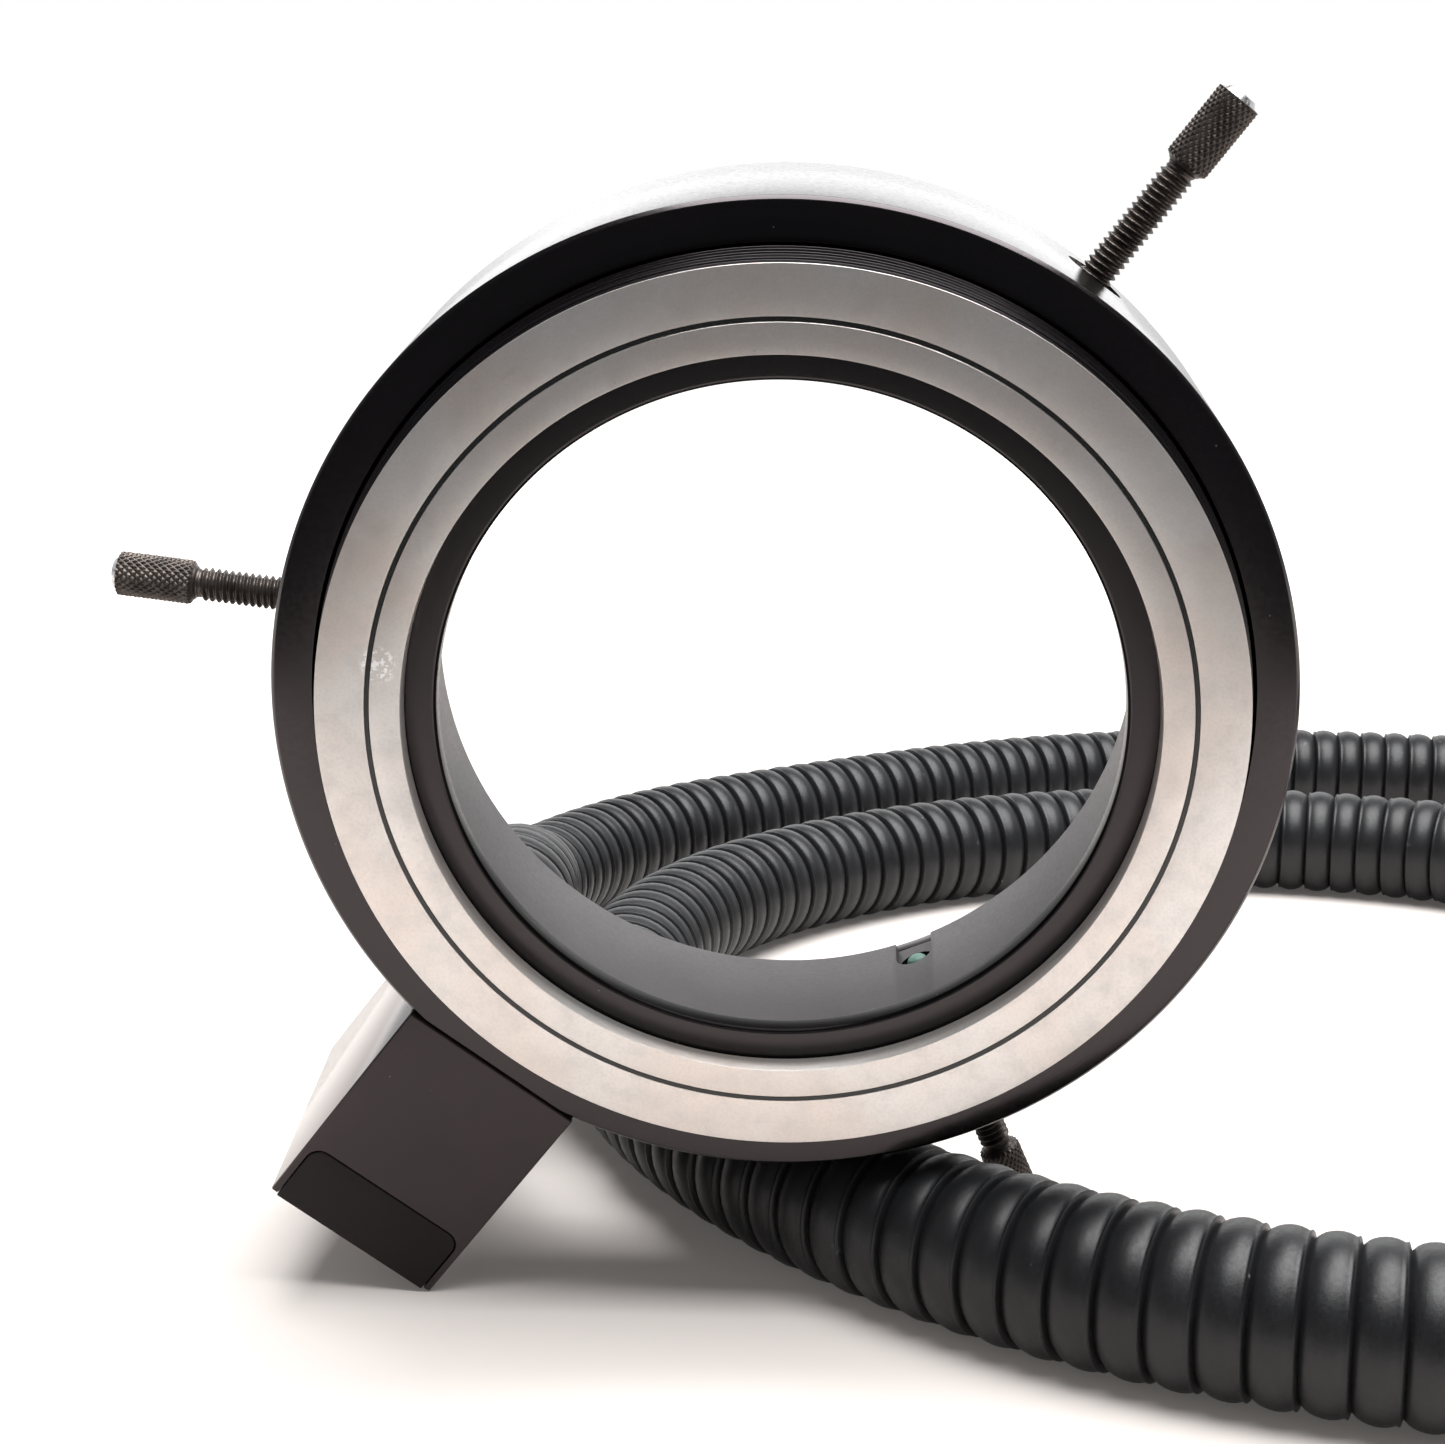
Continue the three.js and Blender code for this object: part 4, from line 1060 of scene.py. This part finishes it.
def make_source_end(route, finishes):
    at = route.end_frame()
    back = SOURCE_START - SEAT_GAP
    sleeve = SOURCE_R + SEAT_GAP
    outline = [(BUNDLE_R, -PLUG_LENGTH), (PLUG_R, -PLUG_LENGTH), (PLUG_R, SEAT_GAP),
               (COLLAR_R, SEAT_GAP), *groove(COLLAR_R, COLLAR_GROOVE_R, *COLLAR_GROOVE, slope=0.2),
               (COLLAR_R, COLLAR_END - COLLAR_BEVEL), (COLLAR_R - COLLAR_BEVEL, COLLAR_END),
               (sleeve, COLLAR_END), (sleeve, back), (BUNDLE_R, back)]
    collar = turned("end_collar", outline, sides=128, rounding=0.2)
    to_top = Matrix.Translation((0, 0, COLLAR_SCREW)) @ ALONG_LIGHT
    hole = rod("hole", GRUB_R + SEAT_GAP, SOURCE_R - SEAT_GAP, COLLAR_R + PAST)
    cut(collar, [place(hole, to_top)])
    settle(collar, at, ["source_collar"], [finishes["steel"]])

    outline = [(BUNDLE_R, SOURCE_START), (SOURCE_R, SOURCE_START),
               *groove(SOURCE_R, SOURCE_GROOVE_R, *SOURCE_GROOVE, slope=0.3),
               (SOURCE_R, SOURCE_END - SOURCE_BEVEL), (SOURCE_R - SOURCE_BEVEL, SOURCE_END),
               (BUNDLE_R, SOURCE_END)]
    ferrule = turned("end_ferrule", outline, sides=128, rounding=0.15)
    settle(ferrule, at, ["source_ferrule"], [finishes["steel"]])

    face = rod("end_fibres", SOURCE_FIBRE_R, SOURCE_END - SOURCE_FIBRE_DEPTH, SOURCE_END, sides=96,
               rounding=0.05)
    settle(face, at, ["source_face"], [finishes["glass"]])

    screw = set_screw("end_set_screw", sleeve, COLLAR_R - 0.1, socket_depth=0.9, rounding=0.12)
    settle(screw, at @ to_top, ["source_set_screw"], [finishes["oxide"]])
    return [collar, ferrule, face, screw]


# Stage and light

def floor_finish():
    """Warm white paper. It shows its shadows near the object, and is plain white further off."""
    material = bpy.data.materials.new("floor")
    material.use_nodes = True
    tree = material.node_tree
    tree.nodes.clear()
    coords = node(tree, "ShaderNodeTexCoord").outputs["Object"]
    away = apart(tree, coords, (*FLOOR_MIDDLE, 0))
    far = spread(tree, away, *FLOOR_FADE)
    diffuse = node(tree, "ShaderNodeBsdfDiffuse", {"Color": (*PAPER, 1)}).outputs[0]
    seen, _ = shown_rays(tree)
    strength = spread(tree, away, *FLOOR_FADE, PAPER_LIFT, 1)
    lift = node(tree, "ShaderNodeEmission", {
        "Color": blend_colour(tree, far, PAPER_GLOW, WHITE),
        "Strength": sums(tree, "MULTIPLY", seen, strength),
    }).outputs[0]
    both = node(tree, "ShaderNodeAddShader", {0: diffuse, 1: lift}).outputs[0]
    node(tree, "ShaderNodeOutputMaterial", {"Surface": both})
    return material


def make_stage():
    """Paper with its front edge near the object; in front of that edge the face mirrors a room."""
    points = [(x, y, 0) for x, y in ((-FLOOR_REACH, FLOOR_FRONT), (FLOOR_REACH, FLOOR_FRONT),
                                     (FLOOR_REACH, FLOOR_REACH), (-FLOOR_REACH, FLOOR_REACH))]
    floor = new_piece("floor", points, [(0, 1, 2, 3)])
    floor.data.materials.append(floor_finish())


def make_world():
    """White to the camera. Glossy surfaces mirror a white backdrop behind and a dim room in front."""
    world = bpy.data.worlds.new("studio")
    bpy.context.scene.world = world
    world.use_nodes = True
    tree = world.node_tree
    tree.nodes.clear()
    coords = node(tree, "ShaderNodeTexCoord").outputs["Generated"]
    way = node(tree, "ShaderNodeSeparateXYZ", {0: coords}).outputs
    behind = spread(tree, way[1], *ROOM_TO_REAR)
    low = spread(tree, way[2], *ROOM_TO_LOW)
    seen, glossy = shown_rays(tree)
    mirrored = blend_colour(tree, sums(tree, "MULTIPLY", behind, low), ROOM, WHITE)
    colour = blend_colour(tree, glossy, WHITE, mirrored)
    strength = sums(tree, "MAXIMUM", seen, AMBIENT)
    background = node(tree, "ShaderNodeBackground", {"Color": colour, "Strength": strength}).outputs[0]
    node(tree, "ShaderNodeOutputWorld", {"Surface": background})


def make_lamp(name, location, target, size, power):
    data = bpy.data.lights.new(name, "AREA")
    data.shape = "RECTANGLE"
    data.size, data.size_y = size
    data.energy = power
    lamp = bpy.data.objects.new(name, data)
    direction = Vector(target) - Vector(location)
    lamp.matrix_world = direction.to_track_quat("-Z", "Y").to_matrix().to_4x4()
    lamp.location = location
    bpy.context.scene.collection.objects.link(lamp)


# Build

FINISHES = {
    "annulus": anodised("anodised_annulus", lines="radius"),
    "outer_wall": anodised("anodised_outer_wall", roughness=0.2, lines="height"),
    # Bore: base colour partly its own grey, partly a painted reflection
    "bore": anodised("anodised_bore_grey_and_sheen", BORE_GREY_AND_SHEEN, roughness=0.42, lines="height", depth=0.01),
    "lip": anodised("anodised_lip", ANODISED_LIP, roughness=0.3, lines="radius", depth=0.003),
    "lip_bore": anodised("anodised_lip_bore", roughness=0.22, lines="height", shine=0.05),
    "step": anodised("anodised_step", roughness=0.3, lines="height"),
    "rear": anodised("anodised_rear", lines="radius", depth=0.004),
    "block": anodised("anodised_block", ANODISED_BLOCK, roughness=0.36, shine=0.42),
    "block_side": anodised("anodised_block_side", roughness=0.1, shine=1.0),
    "plate": anodised("anodised_plate", ANODISED_PLATE, roughness=0.46, shine=0.22),
    "ground": ground_metal("ground_face"),
    "fibres": fibre_line("fibre_line"),
    "oxide": black_oxide("oxide"),
    "worn_oxide": bright_steel("oxide_worn"),
    "steel": bright_steel("steel"),
    "tip": soft_plastic("tip_plastic", TIP_GREEN),
    "cover": conduit_cover("conduit_vinyl"),
    "glass": fibre_line("glass_ends"),
    "bundle": soft_plastic("bundle_fibre", BUNDLE_CREAM),
}
# Pieces out of sight that keep their CAD shapes
KEPT_NODES = {
    "block_screw_1": "oxide",
    "block_screw_2": "oxide",
    "bundle_elbow": "bundle",
    "fibre_bundle": "bundle",
}

bpy.context.scene.view_settings.view_transform = "Standard"
make_camera()
ROUTE = Route()
conduit, conduit_path = make_conduit(ROUTE, FINISHES)
far_end = make_source_end(ROUTE, FINISHES)

make_body(FINISHES)
make_faces(FINISHES)
make_fibres(FINISHES)
make_lip(FINISHES)
make_rear(FINISHES)
for number, (screw_degrees, screw_stand) in enumerate(SCREWS, 1):
    make_thumb_screw(number, screw_degrees, screw_stand, FINISHES)
make_block(FINISHES)
for kept_node, finish_name in KEPT_NODES.items():
    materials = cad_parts[kept_node].data.materials
    materials.clear()
    materials.append(FINISHES[finish_name])

make_stage()
make_world()
for lamp_name, lamp_setting in LAMPS.items():
    make_lamp(lamp_name, *lamp_setting)
